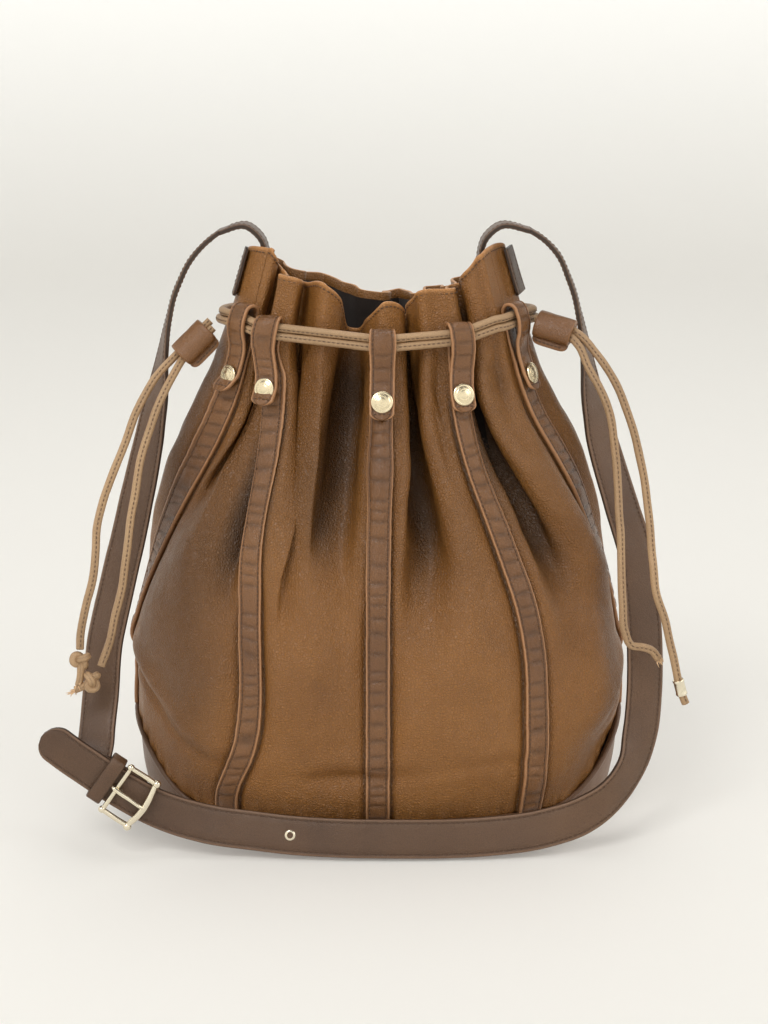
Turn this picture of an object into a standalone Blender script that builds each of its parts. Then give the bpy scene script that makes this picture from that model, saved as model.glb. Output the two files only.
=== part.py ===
"""Leather bucket bag: gathered pleated mouth, two drawcords under eight snap tabs, buckled shoulder strap.

Metres, +Z up, +X to the wearer's right, -Y towards the front. The origin is the centre of the
flat underside. The leather's place around the bag is u, from 0 at the left side seam, through
2 at the front centre, 4 at the right side seam and 6 at the back centre. A strip lies at each
whole u.
"""

import math

import bmesh
import bpy
import numpy as np
from mathutils import Matrix, Vector

STRIPS = 8
BODY_COLUMNS = 8
BODY_ROWS = 11

LEATHER = 0.0020
STRIP_THICKNESS = 0.0018
STRIP_HALF_WIDTH = 0.0070
STRIP_CLEAR = 0.0007
LINING_THICKNESS = 0.0010
GAP = 0.0003

BASE_EXPONENT = 2.3
BASE_HALF_LENGTH = 0.140
BASE_HALF_DEPTH = 0.074
SEAM_FRONT_HEIGHT = 0.014
SEAM_SIDE_RISE = 0.046

CORD_DIAMETER = 0.0046
CORD_OUT = 0.0056
ARCH_RADIUS = 0.0043
HINGE_TO_TAB = 0.0022
TAB_THICKNESS = 0.0018
TAB_LENGTH = 0.043
SNAP_BELOW_CORD = 0.0335
TAB_OUT = 0.0052

SLIDER_LEFT_SHIFT = 0.0030
SLIDER_RIGHT_SHIFT = 0.0016
STRAP_WIDTH = 0.0220
ANCHOR_WIDTH = 0.018
EAR_BAND_WIDTH = 0.016
EAR_BAND_THICKNESS = 0.0016
EAR_BAND_HEIGHTS = (0.3125, 0.3365)
EAR_BAND_LEFT_U = 7.79
EAR_BAND_RIGHT_U = 4.32
SLIDER_LENGTH = 0.022
SLIDER_HALF_BORE = (0.0066, 0.0044)
SLIDER_THICKNESS = 0.0016
BUCKLE_SHIFT = -0.0045
BUCKLE_HALF_WIDTH = 0.0150
BUCKLE_HALF_LENGTH = 0.0085
BUCKLE_CORNER = 0.0035
BUCKLE_BAR = 0.0028
BUCKLE_RISE = 0.0036
PRONG_PLACES = ((-0.0135, 0, 0.0066), (-0.0045, 0, 0.0070), (0.0045, 0, 0.0066))
PRONG_DIAMETER = 0.0022
KEEPER_LENGTH = 0.009
KEEPER_HALF_WIDTH = 0.0132
KEEPER_HALF_DEPTH = 0.0046
KEEPER_CORNER = 0.0020
KEEPER_THICKNESS = 0.0014
KEEPER_PLACE = (0.0118, 0, -0.0018)
EYELET_STATION = 20
EYELET_HEIGHT = 0.0007
EYELET_RADII = (0.0014, 0.0028, 0.0032)
STRAP_THICKNESS = 0.0026

# The strips hang almost straight from the cords to the snaps, at this half width of the neck.
NECK_HALF_WIDTH = 0.0876

# Half width and half depth of the body at each height, before the pleats.
PROFILE_Z = (0.000, 0.030, 0.065, 0.100, 0.130, 0.160, 0.180, 0.203, 0.225, 0.245, 0.266, 0.308, 0.340)
PROFILE_X = (
    0.1400, 0.1455, 0.1470, 0.1455, 0.1430, 0.1390, 0.1345, 0.1275, 0.1180, 0.1075, 0.0980, 0.0830, 0.0730,
)
PROFILE_Y = (
    0.0740, 0.0790, 0.0830, 0.0830, 0.0810, 0.0780, 0.0745, 0.0700, 0.0640, 0.0570, 0.0500, 0.0445, 0.0440,
)

# The gathered mouth at cord height, as shares of the half width and half depth: one list of
# places for each stretch from a strip to the next, starting with the strip.
MOUTH = (
    ((-0.84, -0.50), (-0.785, -0.56), (-0.755, -0.48), (-0.745, -0.33), (-0.69, -0.38), (-0.71, -0.64)),
    (
        (-0.68, -0.78), (-0.57, -0.80), (-0.52, -0.42), (-0.45, -0.62),
        (-0.36, -0.86), (-0.25, -0.72), (-0.17, -0.42),
    ),
    ((0.03, -1.00), (0.13, -0.86), (0.17, -0.38), (0.22, -0.66), (0.30, -0.86), (0.42, -0.84)),
    ((0.51, -0.82), (0.55, -0.36), (0.63, -0.66), (0.75, -0.68)),
    ((0.86, -0.40), (0.93, -0.14), (1.00, 0.12), (0.92, 0.46), (0.80, 0.44)),
    ((0.67, 0.80), (0.56, 0.72), (0.51, 0.36), (0.44, 0.70), (0.34, 0.66), (0.29, 0.42)),
    ((0.15, 0.90), (0.05, 0.76), (0.01, 0.26), (-0.12, 0.24), (-0.26, 0.58)),
    (
        (-0.44, 0.92), (-0.57, 0.70), (-0.60, 0.42), (-0.72, 0.72),
        (-0.86, 0.48), (-0.97, 0.20), (-0.99, -0.10), (-0.93, -0.34),
    ),
)

RIM_U = (
    0.00, 0.31, 0.55, 0.80, 1.00, 1.25, 1.47, 1.60, 1.72, 1.85, 2.00, 2.15, 2.30, 2.43, 2.60, 2.75,
    3.00, 3.33, 3.58, 3.75, 4.00, 4.36, 4.58, 5.00, 5.50, 6.00, 6.50, 7.00, 7.40, 7.68, 7.80,
)
RIM_Z = (
    0.339, 0.332, 0.327, 0.326, 0.326, 0.320, 0.320, 0.310,
    0.294, 0.301, 0.311, 0.310, 0.303, 0.301, 0.311, 0.317,
    0.318, 0.318, 0.327, 0.335, 0.339, 0.338, 0.330, 0.318, 0.312, 0.308, 0.312, 0.318, 0.326, 0.336, 0.338,
)
CORD_Z = (0.3000, 0.2955, 0.2900, 0.2925, 0.3000, 0.2950, 0.2920, 0.2950)

# The second strip is drawn towards the centre between the base and the gathers.
DRIFT_Z = (0.00, 0.025, 0.06, 0.14, 0.20, 0.26)
DRIFT = (0.00, 0.02, 0.17, 0.17, 0.03, 0.00)


def smooth_through(knots, values, at, period=None):
    """Cubic Hermite curve through values at knots, read at each place in at."""
    knots = np.asarray(knots, float)
    values = np.asarray(values, float)
    at = np.asarray(at, float)
    if period:
        at = np.mod(at, period)
        knots = np.concatenate([knots[-3:] - period, knots, knots[:3] + period])
        values = np.concatenate([values[-3:], values, values[:3]])
    at = np.clip(at, knots[0], knots[-1])
    slopes = np.gradient(values, knots)
    cell = np.clip(np.searchsorted(knots, at, side="right") - 1, 0, len(knots) - 2)
    span = knots[cell + 1] - knots[cell]
    t = (at - knots[cell]) / span
    start = (1 + 2 * t) * (1 - t) ** 2 * values[cell] + t * (1 - t) ** 2 * span * slopes[cell]
    end = t * t * (3 - 2 * t) * values[cell + 1] + t * t * (t - 1) * span * slopes[cell + 1]
    return start + end


def smooth_step(low, high, at):
    t = np.clip((np.asarray(at, float) - low) / (high - low), 0, 1)
    return t * t * (3 - 2 * t)


def oval_table():
    """(u, x, y): a superellipse of unit half width and half depth, evenly spaced by its real length."""
    turn = np.linspace(0, 2 * math.pi, 1441)
    power = 2 / BASE_EXPONENT
    x = -np.sign(np.cos(turn)) * np.abs(np.cos(turn)) ** power
    y = -np.sign(np.sin(turn)) * np.abs(np.sin(turn)) ** power
    steps = np.hypot(np.diff(x) * BASE_HALF_LENGTH, np.diff(y) * BASE_HALF_DEPTH)
    length = np.concatenate([[0], np.cumsum(steps)])
    return length / length[-1] * STRIPS, x, y


def mouth_table():
    """(u, x, y) of the mouth's places, spaced by length between one strip and the next."""
    rows = []
    for strip, stretch in enumerate(MOUTH):
        ends = list(stretch) + [MOUTH[(strip + 1) % STRIPS][0]]
        sides = [math.hypot((b[0] - a[0]) * 2, b[1] - a[1]) for a, b in zip(ends, ends[1:])]
        reach = 0.0
        for place, side in zip(stretch, sides):
            rows.append((strip + reach / sum(sides), place[0], place[1]))
            reach += side
    return np.array(rows).T


OVAL = oval_table()
MOUTH_CURVE = mouth_table()


def body_point(u, z):
    """The outer surface of the body leather at u and height z."""
    u = np.asarray(u, float)
    z = np.asarray(z, float)
    half_x = smooth_through(PROFILE_Z, PROFILE_X, z)
    half_y = smooth_through(PROFILE_Z, PROFILE_Y, z)
    near_second = np.clip(1 - np.abs(np.mod(u, STRIPS) - 1.0), 0, 1)
    around = np.mod(u + smooth_through(DRIFT_Z, DRIFT, z) * smooth_step(0, 1, near_second), STRIPS)
    oval_x = np.interp(around, OVAL[0], OVAL[1])
    oval_y = np.interp(around, OVAL[0], OVAL[2])
    mouth_x = smooth_through(MOUTH_CURVE[0], MOUTH_CURVE[1], u, STRIPS)
    mouth_y = smooth_through(MOUTH_CURVE[0], MOUTH_CURVE[2], u, STRIPS)
    gathered = smooth_step(0.09, 0.292, z) ** 1.25
    at_side = smooth_step(0.60, 1.00, np.abs(mouth_x))
    above_snaps = smooth_step(0.262, 0.302, z)
    neck_x = NECK_HALF_WIDTH + (half_x - NECK_HALF_WIDTH) * np.maximum(at_side, above_snaps)
    x = half_x * oval_x + gathered * (neck_x * mouth_x - half_x * oval_x)
    y = half_y * (oval_y + gathered * (mouth_y - oval_y))
    return np.stack([x, y, z + 0 * x], axis=-1)


def body_tangent(u, z):
    step = 0.02
    along = body_point(np.asarray(u) + step, z) - body_point(np.asarray(u) - step, z)
    return along / np.linalg.norm(along, axis=-1, keepdims=True)


def body_normal(u, z):
    step = 0.003
    z = np.asarray(z, float)
    up = body_point(u, z + step) - body_point(u, z - step)
    normal = np.cross(body_tangent(u, z), up)
    return normal / np.linalg.norm(normal, axis=-1, keepdims=True)


def seam_height(u):
    """Height of the boat-shaped seam between the body and the base."""
    out = np.abs(np.interp(np.mod(u, STRIPS), OVAL[0], OVAL[1]))
    return SEAM_FRONT_HEIGHT + SEAM_SIDE_RISE * np.clip((out - 0.68) / 0.32, 0, 1) ** 2.2


def rim_height(u):
    return smooth_through(RIM_U, RIM_Z, u, STRIPS)


def clear_scene():
    for obj in list(bpy.data.objects):
        bpy.data.objects.remove(obj, do_unlink=True)
    for mesh in list(bpy.data.meshes):
        bpy.data.meshes.remove(mesh)


def new_collection(name):
    made = bpy.data.collections.new(name)
    bpy.context.scene.collection.children.link(made)
    return made


def material(name, color, roughness, metallic=0.0):
    made = bpy.data.materials.new(name)
    made.use_nodes = True
    shader = made.node_tree.nodes["Principled BSDF"]
    shader.inputs["Base Color"].default_value = (*color, 1)
    shader.inputs["Roughness"].default_value = roughness
    shader.inputs["Metallic"].default_value = metallic
    return made


clear_scene()
PARTS = new_collection("bucket_bag")
CUTTERS = new_collection("cutters")
LEATHER_BROWN = material("body_leather", (0.235, 0.112, 0.042), 0.45)
STRIP_BROWN = material("strip_leather", (0.225, 0.112, 0.048), 0.42)
BASE_BROWN = material("base_leather", (0.170, 0.085, 0.040), 0.40)
STRAP_BROWN = material("strap_leather", (0.215, 0.125, 0.070), 0.45)
CORD_BROWN = material("cord_leather", (0.290, 0.165, 0.085), 0.55)
LINING_BROWN = material("lining_suede", (0.045, 0.030, 0.024), 0.95)
BOARD_GREY = material("base_board", (0.300, 0.250, 0.190), 0.85)
SNAP_GOLD = material("snap_gold", (0.820, 0.680, 0.400), 0.25, 1.0)
STUD_BRASS = material("stud_brass", (0.700, 0.550, 0.300), 0.35, 1.0)
BUCKLE_METAL = material("buckle_metal", (0.780, 0.700, 0.520), 0.25, 1.0)


def add_object(name, data, finish):
    obj = bpy.data.objects.new(name, data)
    obj.data.materials.append(finish)
    PARTS.objects.link(obj)
    return obj


def grid_mesh(name, points, closed=False, cap_first=False):
    """A mesh over points[row][column]; closed joins each row's ends and cap_first fills the first row."""
    rows, columns = points.shape[:2]
    shape = bmesh.new()
    verts = [[shape.verts.new(points[r, c]) for c in range(columns)] for r in range(rows)]
    for r in range(rows - 1):
        for c in range(columns if closed else columns - 1):
            d = (c + 1) % columns
            shape.faces.new((verts[r][c], verts[r][d], verts[r + 1][d], verts[r + 1][c]))
    if cap_first:
        shape.faces.new(list(reversed(verts[0])))
    bmesh.ops.recalc_face_normals(shape, faces=shape.faces)
    mesh = bpy.data.meshes.new(name)
    shape.to_mesh(mesh)
    shape.free()
    mesh.shade_smooth()
    return mesh


def solidify(obj, thickness, offset):
    thick = obj.modifiers.new("thickness", "SOLIDIFY")
    thick.thickness = thickness
    thick.offset = offset
    thick.use_even_offset = False
    return obj


def facing_out(mesh):
    """Turns an open shell's faces so that they point away from the bag's axis."""
    toward = sum(p.normal.dot(Vector((p.center.x, p.center.y, 0))) * p.area for p in mesh.polygons)
    if toward < 0:
        mesh.flip_normals()
    return mesh


def panel_columns(first_strip):
    seam = 0.006
    return np.linspace(first_strip + seam, first_strip + STRIPS / 2 - seam, 4 * BODY_COLUMNS + 1)


def panel_heights(u):
    """Heights of the body's rows at each u, from just above the seam to the rim."""
    low = seam_height(u) + 0.0012
    return low + (rim_height(u) - low) * np.linspace(0, 1, BODY_ROWS)[:, None]


def body_panel(name, first_strip, finish):
    """Half of the body, between the two side seams, which the side strips cover."""
    u = panel_columns(first_strip)
    z = panel_heights(u)
    mesh = facing_out(grid_mesh(name, body_point(u + 0 * z, z)))
    return solidify(add_object(name, mesh, finish), LEATHER, -1)


def base_panel():
    """The boat-shaped bottom: flat underside, rounded edge, sides that rise to the seam."""
    u = np.linspace(0, STRIPS, 56, endpoint=False)
    rise = seam_height(u) - 0.0006
    rings = [np.stack([body_point(u, 0)[:, 0] * 0.93, body_point(u, 0)[:, 1] * 0.90, 0 * u], axis=-1)]
    for share, inset in ((0.10, 0.975), (0.30, 0.995), (0.60, 1.0), (1.0, 1.0)):
        ring = body_point(u, rise * share)
        ring[:, :2] *= inset
        rings.append(ring)
    mesh = grid_mesh("base_panel", np.array(rings), closed=True, cap_first=True)
    if sum(p.normal.z * p.area for p in mesh.polygons) > 0:
        mesh.flip_normals()
    return solidify(add_object("base_panel", mesh, BASE_BROWN), LEATHER, -1)


def base_board():
    """Flat stiffener that lies on the base panel, under the lining."""
    outline = bpy.data.curves.new("base_board", "CURVE")
    outline.dimensions = "2D"
    outline.fill_mode = "BOTH"
    outline.extrude = 0.0010
    u = np.linspace(0, STRIPS, 40, endpoint=False)
    edge = body_point(u, 0)
    line = outline.splines.new("POLY")
    line.points.add(len(u) - 1)
    for place, (x, y, _) in zip(line.points, edge):
        place.co = (x * 0.88, y * 0.84, 0, 1)
    line.use_cyclic_u = True
    board = add_object("base_board", outline, BOARD_GREY)
    board.location.z = 0.0036
    return board


def lining():
    """One sewn bag of lining inside the two panels, closed across the board."""
    u = np.concatenate([panel_columns(0), panel_columns(4)])
    z = panel_heights(u)
    z[-1] -= 0.004
    bottom = body_point(u, 0 * u) * (0.85, 0.81, 0) + (0, 0, 0.0062)
    rows = np.concatenate([bottom[None], body_point(u + 0 * z, z)])
    mesh = grid_mesh("lining", rows, closed=True, cap_first=True)
    if sum(p.normal.dot(p.center) * p.area for p in mesh.polygons) < 0:
        mesh.flip_normals()
    inward = LEATHER + 2 * GAP
    offset = -1 - 2 * inward / LINING_THICKNESS
    return solidify(add_object("lining", mesh, LINING_BROWN), LINING_THICKNESS, offset)


def tube(name, points, diameter, finish, closed=False, resolution=2):
    curve = bpy.data.curves.new(name, "CURVE")
    curve.dimensions = "3D"
    curve.bevel_depth = diameter / 2
    curve.bevel_resolution = resolution
    curve.use_fill_caps = True
    line = curve.splines.new("POLY")
    line.points.add(len(points) - 1)
    for place, point in zip(line.points, points):
        place.co = (*point, 1)
    line.use_cyclic_u = closed
    return add_object(name, curve, finish)


def base_piping():
    """Rolled welt along the seam between body and base."""
    radius = 0.0012
    u = np.linspace(0, STRIPS, 64, endpoint=False)
    z = seam_height(u)
    route = body_point(u, z) + body_normal(u, z) * (radius + 2 * GAP)
    return tube("base_piping", route, 2 * radius, BASE_BROWN, closed=True, resolution=1)


def drawcord_route(above, count):
    """A taut loop round the gathers: the mouth's outline seen from above, stretched tight."""
    u = np.linspace(0, STRIPS, 480, endpoint=False)
    z = smooth_through(range(STRIPS), CORD_Z, u, STRIPS) + above
    outline = body_point(u, z)
    loop = []
    for turn in np.linspace(-math.pi, math.pi, 720, endpoint=False):
        away = np.array([math.cos(turn), math.sin(turn), 0])
        loop.append(outline[np.argmax(outline @ away)] + away * CORD_OUT)
    loop = np.array(loop + loop[:1])
    reach = np.concatenate([[0], np.cumsum(np.linalg.norm(np.diff(loop, axis=0), axis=1))])
    even = np.linspace(0, reach[-1], count, endpoint=False)
    return np.stack([np.interp(even, reach, loop[:, axis]) for axis in range(3)], axis=-1)


CORD_LOOP = drawcord_route(0, 400)


def held_cord(strip, along):
    """(place, outward normal) of the cord's centre line, a distance along it from a strip."""
    z = CORD_Z[strip]
    size = len(CORD_LOOP)
    spacing = np.linalg.norm(CORD_LOOP[1] - CORD_LOOP[0])
    nearest = int(np.argmin(np.linalg.norm(CORD_LOOP - body_point(strip, z), axis=1)))
    index = nearest + round(along / spacing)
    span = 8
    ahead = CORD_LOOP[(index + span) % size] - CORD_LOOP[(index - span) % size]
    ahead[2] = 0
    ahead /= np.linalg.norm(ahead)
    return CORD_LOOP[index % size], np.array([ahead[1], -ahead[0], 0])


def fold_side(strip):
    """Horizontal direction of the cords, and of a tab's width, at a strip."""
    out = held_cord(strip, 0)[1]
    return np.array([-out[1], out[0], 0])


def fold_normal(strip, z):
    """Outward normal of a tab at height z: square to the cords and to the body's slope."""
    step = 0.003
    z = np.asarray(z, float)
    up = body_point(strip, z + step) - body_point(strip, z - step)
    normal = np.cross(fold_side(strip), up)
    return normal / np.linalg.norm(normal, axis=-1, keepdims=True)


def ribbon_points(strip, path, half_width, round_from, round_to):
    """Grid along a path of (height, distance out): below round_from it is flat or follows the
    body, and above round_to it follows the curve of the cords."""
    z = np.array([height for height, _ in path])
    out = np.array([away for _, away in path])
    across = np.array([-1.0, 0.0, 1.0]) * half_width
    centre = body_point(strip, z) + fold_normal(strip, z) * out[:, None]
    middle, outward = held_cord(strip, 0)
    columns = []
    for side in across:
        place, normal = held_cord(strip, side)
        shift = (place - middle) * (1, 1, 0)
        columns.append(centre + shift + (normal - outward) * (out - CORD_OUT)[:, None])
    rounded = np.stack(columns, axis=1)
    flat = centre[:, None, :] + across[None, :, None] * fold_side(strip)
    share = smooth_step(round_from, round_to, z)[:, None, None]
    return flat, rounded, share


def tab_points(strip, path, half_width):
    cord = CORD_Z[strip]
    flat, rounded, share = ribbon_points(strip, path, half_width, cord - 0.014, cord - 0.005)
    return flat * (1 - share) + rounded * share


def strip_points(strip, path, half_width):
    cord = CORD_Z[strip]
    leather = 0.0925
    _, rounded, share = ribbon_points(strip, path, half_width, cord - 0.026, cord - 0.010)
    z = np.array([height for height, _ in path])[:, None]
    out = np.array([away for _, away in path])[:, None, None]
    u = strip + np.array([-1.0, 0.0, 1.0])[None, :] * half_width / leather + 0 * z
    follow = body_point(u, z) + body_normal(u, z) * out
    return follow * (1 - share) + rounded * share


def arch(strip, first_degrees, last_degrees, count):
    """Places round the upper cord, from behind it (180) over its top (90) to its front (0)."""
    top = CORD_Z[strip] + CORD_DIAMETER / 2 + GAP / 2
    turns = np.radians(np.linspace(first_degrees, last_degrees, count))
    return [(top + ARCH_RADIUS * math.sin(a), CORD_OUT + ARCH_RADIUS * math.cos(a)) for a in turns]


def strip(index, name):
    """Strip sewn up the body, which passes behind the cords and curls over their top."""
    half = STRIP_THICKNESS / 2
    low = float(seam_height(index)) + 0.0042
    out = GAP + half + STRIP_CLEAR
    heights = np.linspace(low, CORD_Z[index] - 0.004, 12)
    path = [(z, out) for z in heights] + arch(index, 178, 96, 5)
    mesh = grid_mesh(name, strip_points(index, path, STRIP_HALF_WIDTH))
    return solidify(add_object(name, facing_out(mesh), STRIP_BROWN), STRIP_THICKNESS, 0)


def snap_place(index):
    """Matrix of a snap: its Z axis points out of the bag, its X axis lies along the tab's width."""
    z = CORD_Z[index] - SNAP_BELOW_CORD
    out = Vector(fold_normal(index, z))
    side = Vector(fold_side(index))
    turn = Matrix((side, out.cross(side), out)).transposed()
    return Matrix.Translation(Vector(body_point(index, z))) @ turn.to_4x4()


def tab_hinge(index):
    """Matrix of the fold over the cords: origin at its top, X axis along the fold."""
    top = CORD_Z[index] + CORD_DIAMETER / 2 + GAP / 2 + ARCH_RADIUS
    place = Vector(body_point(index, top)) + Vector(fold_normal(index, top)) * CORD_OUT
    side = Vector(fold_side(index))
    turn = Matrix((side, Vector((0, 0, 1)).cross(side), Vector((0, 0, 1)))).transposed()
    return Matrix.Translation(place) @ turn.to_4x4()


def place_at(obj, matrix):
    """Moves the object's origin to the matrix and keeps its shape where it is."""
    obj.data.transform(matrix.inverted())
    obj.matrix_world = matrix
    return obj


def snap_cutter(index):
    """Hole of the snap through a tab."""
    shape = bmesh.new()
    bmesh.ops.create_cone(shape, cap_ends=True, segments=14, radius1=0.0032, radius2=0.0032, depth=0.012)
    mesh = bpy.data.meshes.new("snap_hole")
    shape.to_mesh(mesh)
    shape.free()
    cutter = bpy.data.objects.new(f"snap_hole_{index + 1}", mesh)
    cutter.matrix_world = snap_place(index) @ Matrix.Translation((0, 0, TAB_OUT))
    cutter.hide_render = True
    cutter.display_type = "WIRE"
    CUTTERS.objects.link(cutter)
    return cutter


def tab(index, name):
    """Flap of the strip that comes down over the cords and snaps onto it."""
    cord = CORD_Z[index]
    start = 90 - math.degrees(HINGE_TO_TAB / ARCH_RADIUS)
    front = CORD_OUT + ARCH_RADIUS
    path = arch(index, start, 0, 4)
    path += [(cord - 0.0040, front), (cord - 0.0085, front - 0.0014), (cord - 0.0140, TAB_OUT + 0.0010)]
    path += [(cord - drop, TAB_OUT) for drop in (0.0200, 0.0270, SNAP_BELOW_CORD, TAB_LENGTH - 0.0035)]
    points = tab_points(index, path, STRIP_HALF_WIDTH)
    tip = tab_points(index, [(cord - TAB_LENGTH, TAB_OUT)], STRIP_HALF_WIDTH * 0.55)
    mesh = facing_out(grid_mesh(name, np.concatenate([points, tip])))
    flap = place_at(add_object(name, mesh, STRIP_BROWN), tab_hinge(index))
    solidify(flap, TAB_THICKNESS, 0)
    cut = flap.modifiers.new("snap hole", "BOOLEAN")
    cut.operation = "DIFFERENCE"
    cut.object = snap_cutter(index)
    return flap


def turned(name, profile, matrix, steps, finish):
    """A turned piece about Z, from a profile of (radius, height) that runs down its outer side."""
    shape = bmesh.new()
    verts = [shape.verts.new((radius, 0, height)) for radius, height in profile]
    for a, b in zip(verts, verts[1:]):
        shape.edges.new((a, b))
    mesh = bpy.data.meshes.new(name)
    shape.to_mesh(mesh)
    shape.free()
    obj = add_object(name, mesh, finish)
    screw = obj.modifiers.new("turn", "SCREW")
    screw.steps = steps
    screw.render_steps = steps
    screw.use_merge_vertices = True
    screw.merge_threshold = 0.00001
    obj.matrix_world = matrix
    return obj


def snap_cap(index, name):
    """Domed cap with the socket post that sits in the tab's hole."""
    base = TAB_OUT + TAB_THICKNESS / 2 + GAP
    profile = (
        (0, base + 0.0019), (0.0030, base + 0.0017), (0.0052, base + 0.0010), (0.0060, base + 0.0003),
        (0.0060, base), (0.0028, base), (0.0028, base - 0.0018), (0.0021, base - 0.0018),
        (0.0021, base - 0.0005), (0, base - 0.0005),
    )
    return turned(name, profile, snap_place(index), 12, SNAP_GOLD)


def snap_stud(index, name):
    """Flanged stud on the strip, which the cap's socket takes."""
    foot = STRIP_THICKNESS + STRIP_CLEAR + 4 * GAP
    flange = foot + 0.0004
    top = foot + 0.0016
    profile = ((0, top), (0.0016, top), (0.0016, flange), (0.0036, flange), (0.0036, foot), (0, foot))
    return turned(name, profile, snap_place(index), 8, STUD_BRASS)


def drawcord(name, above):
    """One cord's run under the eight tabs, bridging the pleats between them."""
    return tube(name, drawcord_route(above, 72), CORD_DIAMETER, CORD_BROWN, closed=True, resolution=1)


def smooth_route(points, spacing):
    """Evenly spaced places on a smooth curve through the points."""
    points = np.asarray(points, float)
    reach = np.concatenate([[0], np.cumsum(np.linalg.norm(np.diff(points, axis=0), axis=1))])
    fine = np.linspace(0, reach[-1], 400)
    dense = np.stack([smooth_through(reach, points[:, axis], fine) for axis in range(3)], axis=-1)
    length = np.concatenate([[0], np.cumsum(np.linalg.norm(np.diff(dense, axis=0), axis=1))])
    even = np.linspace(0, length[-1], max(3, round(length[-1] / spacing)))
    return np.stack([np.interp(even, length, dense[:, axis]) for axis in range(3)], axis=-1)


TAIL_ROUTES = {
    "tail_left_outer": (
        (-0.0960, -0.0145, 0.2975), (-0.1042, -0.0163, 0.2896), (-0.1123, -0.0180, 0.2816),
        (-0.1200, -0.0240, 0.2740), (-0.1279, -0.0320, 0.2652), (-0.1350, -0.0400, 0.2520),
        (-0.1428, -0.0480, 0.2318), (-0.1500, -0.0540, 0.2140), (-0.1546, -0.0580, 0.2013),
        (-0.1575, -0.0610, 0.1886), (-0.1584, -0.0640, 0.1747), (-0.1600, -0.0670, 0.1608),
        (-0.1646, -0.0700, 0.1454), (-0.1680, -0.0730, 0.1300), (-0.1686, -0.0740, 0.1195),
    ),
    "tail_left_inner": (
        (-0.0941, -0.0180, 0.2940), (-0.1023, -0.0198, 0.2861), (-0.1104, -0.0215, 0.2781),
        (-0.1155, -0.0290, 0.2700), (-0.1205, -0.0370, 0.2602), (-0.1276, -0.0440, 0.2443),
        (-0.1331, -0.0500, 0.2264), (-0.1371, -0.0550, 0.2066), (-0.1401, -0.0600, 0.1833),
        (-0.1431, -0.0640, 0.1649), (-0.1467, -0.0680, 0.1447), (-0.1515, -0.0720, 0.1251),
        (-0.1570, -0.0745, 0.1095),
    ),
    "tail_right_outer": (
        (0.0905, -0.0125, 0.2985), (0.1000, -0.0160, 0.2960), (0.1095, -0.0195, 0.2935),
        (0.1150, -0.0225, 0.2905), (0.1232, -0.0280, 0.2816), (0.1338, -0.0370, 0.2660),
        (0.1410, -0.0440, 0.2481), (0.1467, -0.0490, 0.2300), (0.1501, -0.0530, 0.2147),
        (0.1525, -0.0570, 0.1963), (0.1542, -0.0600, 0.1827), (0.1559, -0.0640, 0.1673),
        (0.1577, -0.0680, 0.1501), (0.1629, -0.0710, 0.1335), (0.1677, -0.0740, 0.1159),
        (0.1709, -0.0760, 0.1009), (0.1730, -0.0760, 0.0936), (0.1755, -0.0760, 0.0875),
    ),
    "tail_right_inner": (
        (0.0900, -0.0161, 0.2948), (0.0995, -0.0196, 0.2923), (0.1090, -0.0231, 0.2898),
        (0.1140, -0.0282, 0.2852), (0.1188, -0.0345, 0.2749), (0.1257, -0.0410, 0.2629),
        (0.1312, -0.0470, 0.2468), (0.1339, -0.0520, 0.2305), (0.1356, -0.0560, 0.2107),
        (0.1364, -0.0600, 0.1919), (0.1371, -0.0650, 0.1673), (0.1380, -0.0690, 0.1441),
        (0.1398, -0.0710, 0.1295), (0.1440, -0.0715, 0.1209), (0.1503, -0.0710, 0.1197),
        (0.1560, -0.0700, 0.1172), (0.1600, -0.0690, 0.1120),
    ),
}


def tails():
    for name, route in TAIL_ROUTES.items():
        tube(name, smooth_route(route, 2.4 * CORD_DIAMETER), CORD_DIAMETER, CORD_BROWN)


def knot(name, centre, radii):
    """Outer shape of a knot on a cord's end."""
    shape = bmesh.new()
    bmesh.ops.create_uvsphere(shape, u_segments=12, v_segments=8, radius=1)
    mesh = bpy.data.meshes.new(name)
    bmesh.ops.scale(shape, vec=radii, verts=shape.verts)
    shape.to_mesh(mesh)
    shape.free()
    mesh.shade_smooth()
    obj = add_object(name, mesh, CORD_BROWN)
    obj.location = centre
    return obj


def tip_ferrule():
    """Metal sleeve crimped near the end of the longest tail."""
    route = TAIL_ROUTES["tail_right_outer"]
    inner = CORD_DIAMETER / 2 + 2 * GAP
    outer = inner + 0.0009
    half = 0.0045
    profile = ((outer, half), (outer, -half), (inner, -half), (inner, half), (outer, half))
    place = axis_matrix(route[-2], route[-3], (0, 1, 0))
    return turned("tip_ferrule", profile, place, 12, BUCKLE_METAL)


def strap_eyelet():
    """Rimmed hole of the buckle's next size, on the long half's outer face."""
    place, facing = STRAP_RIGHT[EYELET_STATION]
    ahead = Vector(STRAP_RIGHT[EYELET_STATION + 1][0]) - Vector(STRAP_RIGHT[EYELET_STATION - 1][0])
    out = Vector(facing)
    out = (out - ahead * out.dot(ahead) / ahead.length_squared).normalized()
    foot = STRAP_THICKNESS / 2 + 2 * GAP
    top = foot + EYELET_HEIGHT
    hole, rim, base = EYELET_RADII
    profile = ((rim, top), (base, foot), (hole, foot), (hole, top), (rim, top))
    centre = Vector(place) + out * foot
    matrix = axis_matrix(centre - out * foot, centre - out * foot + out * 1e-6, ahead)
    return turned("strap_eyelet", profile, matrix, 12, BUCKLE_METAL)


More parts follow.
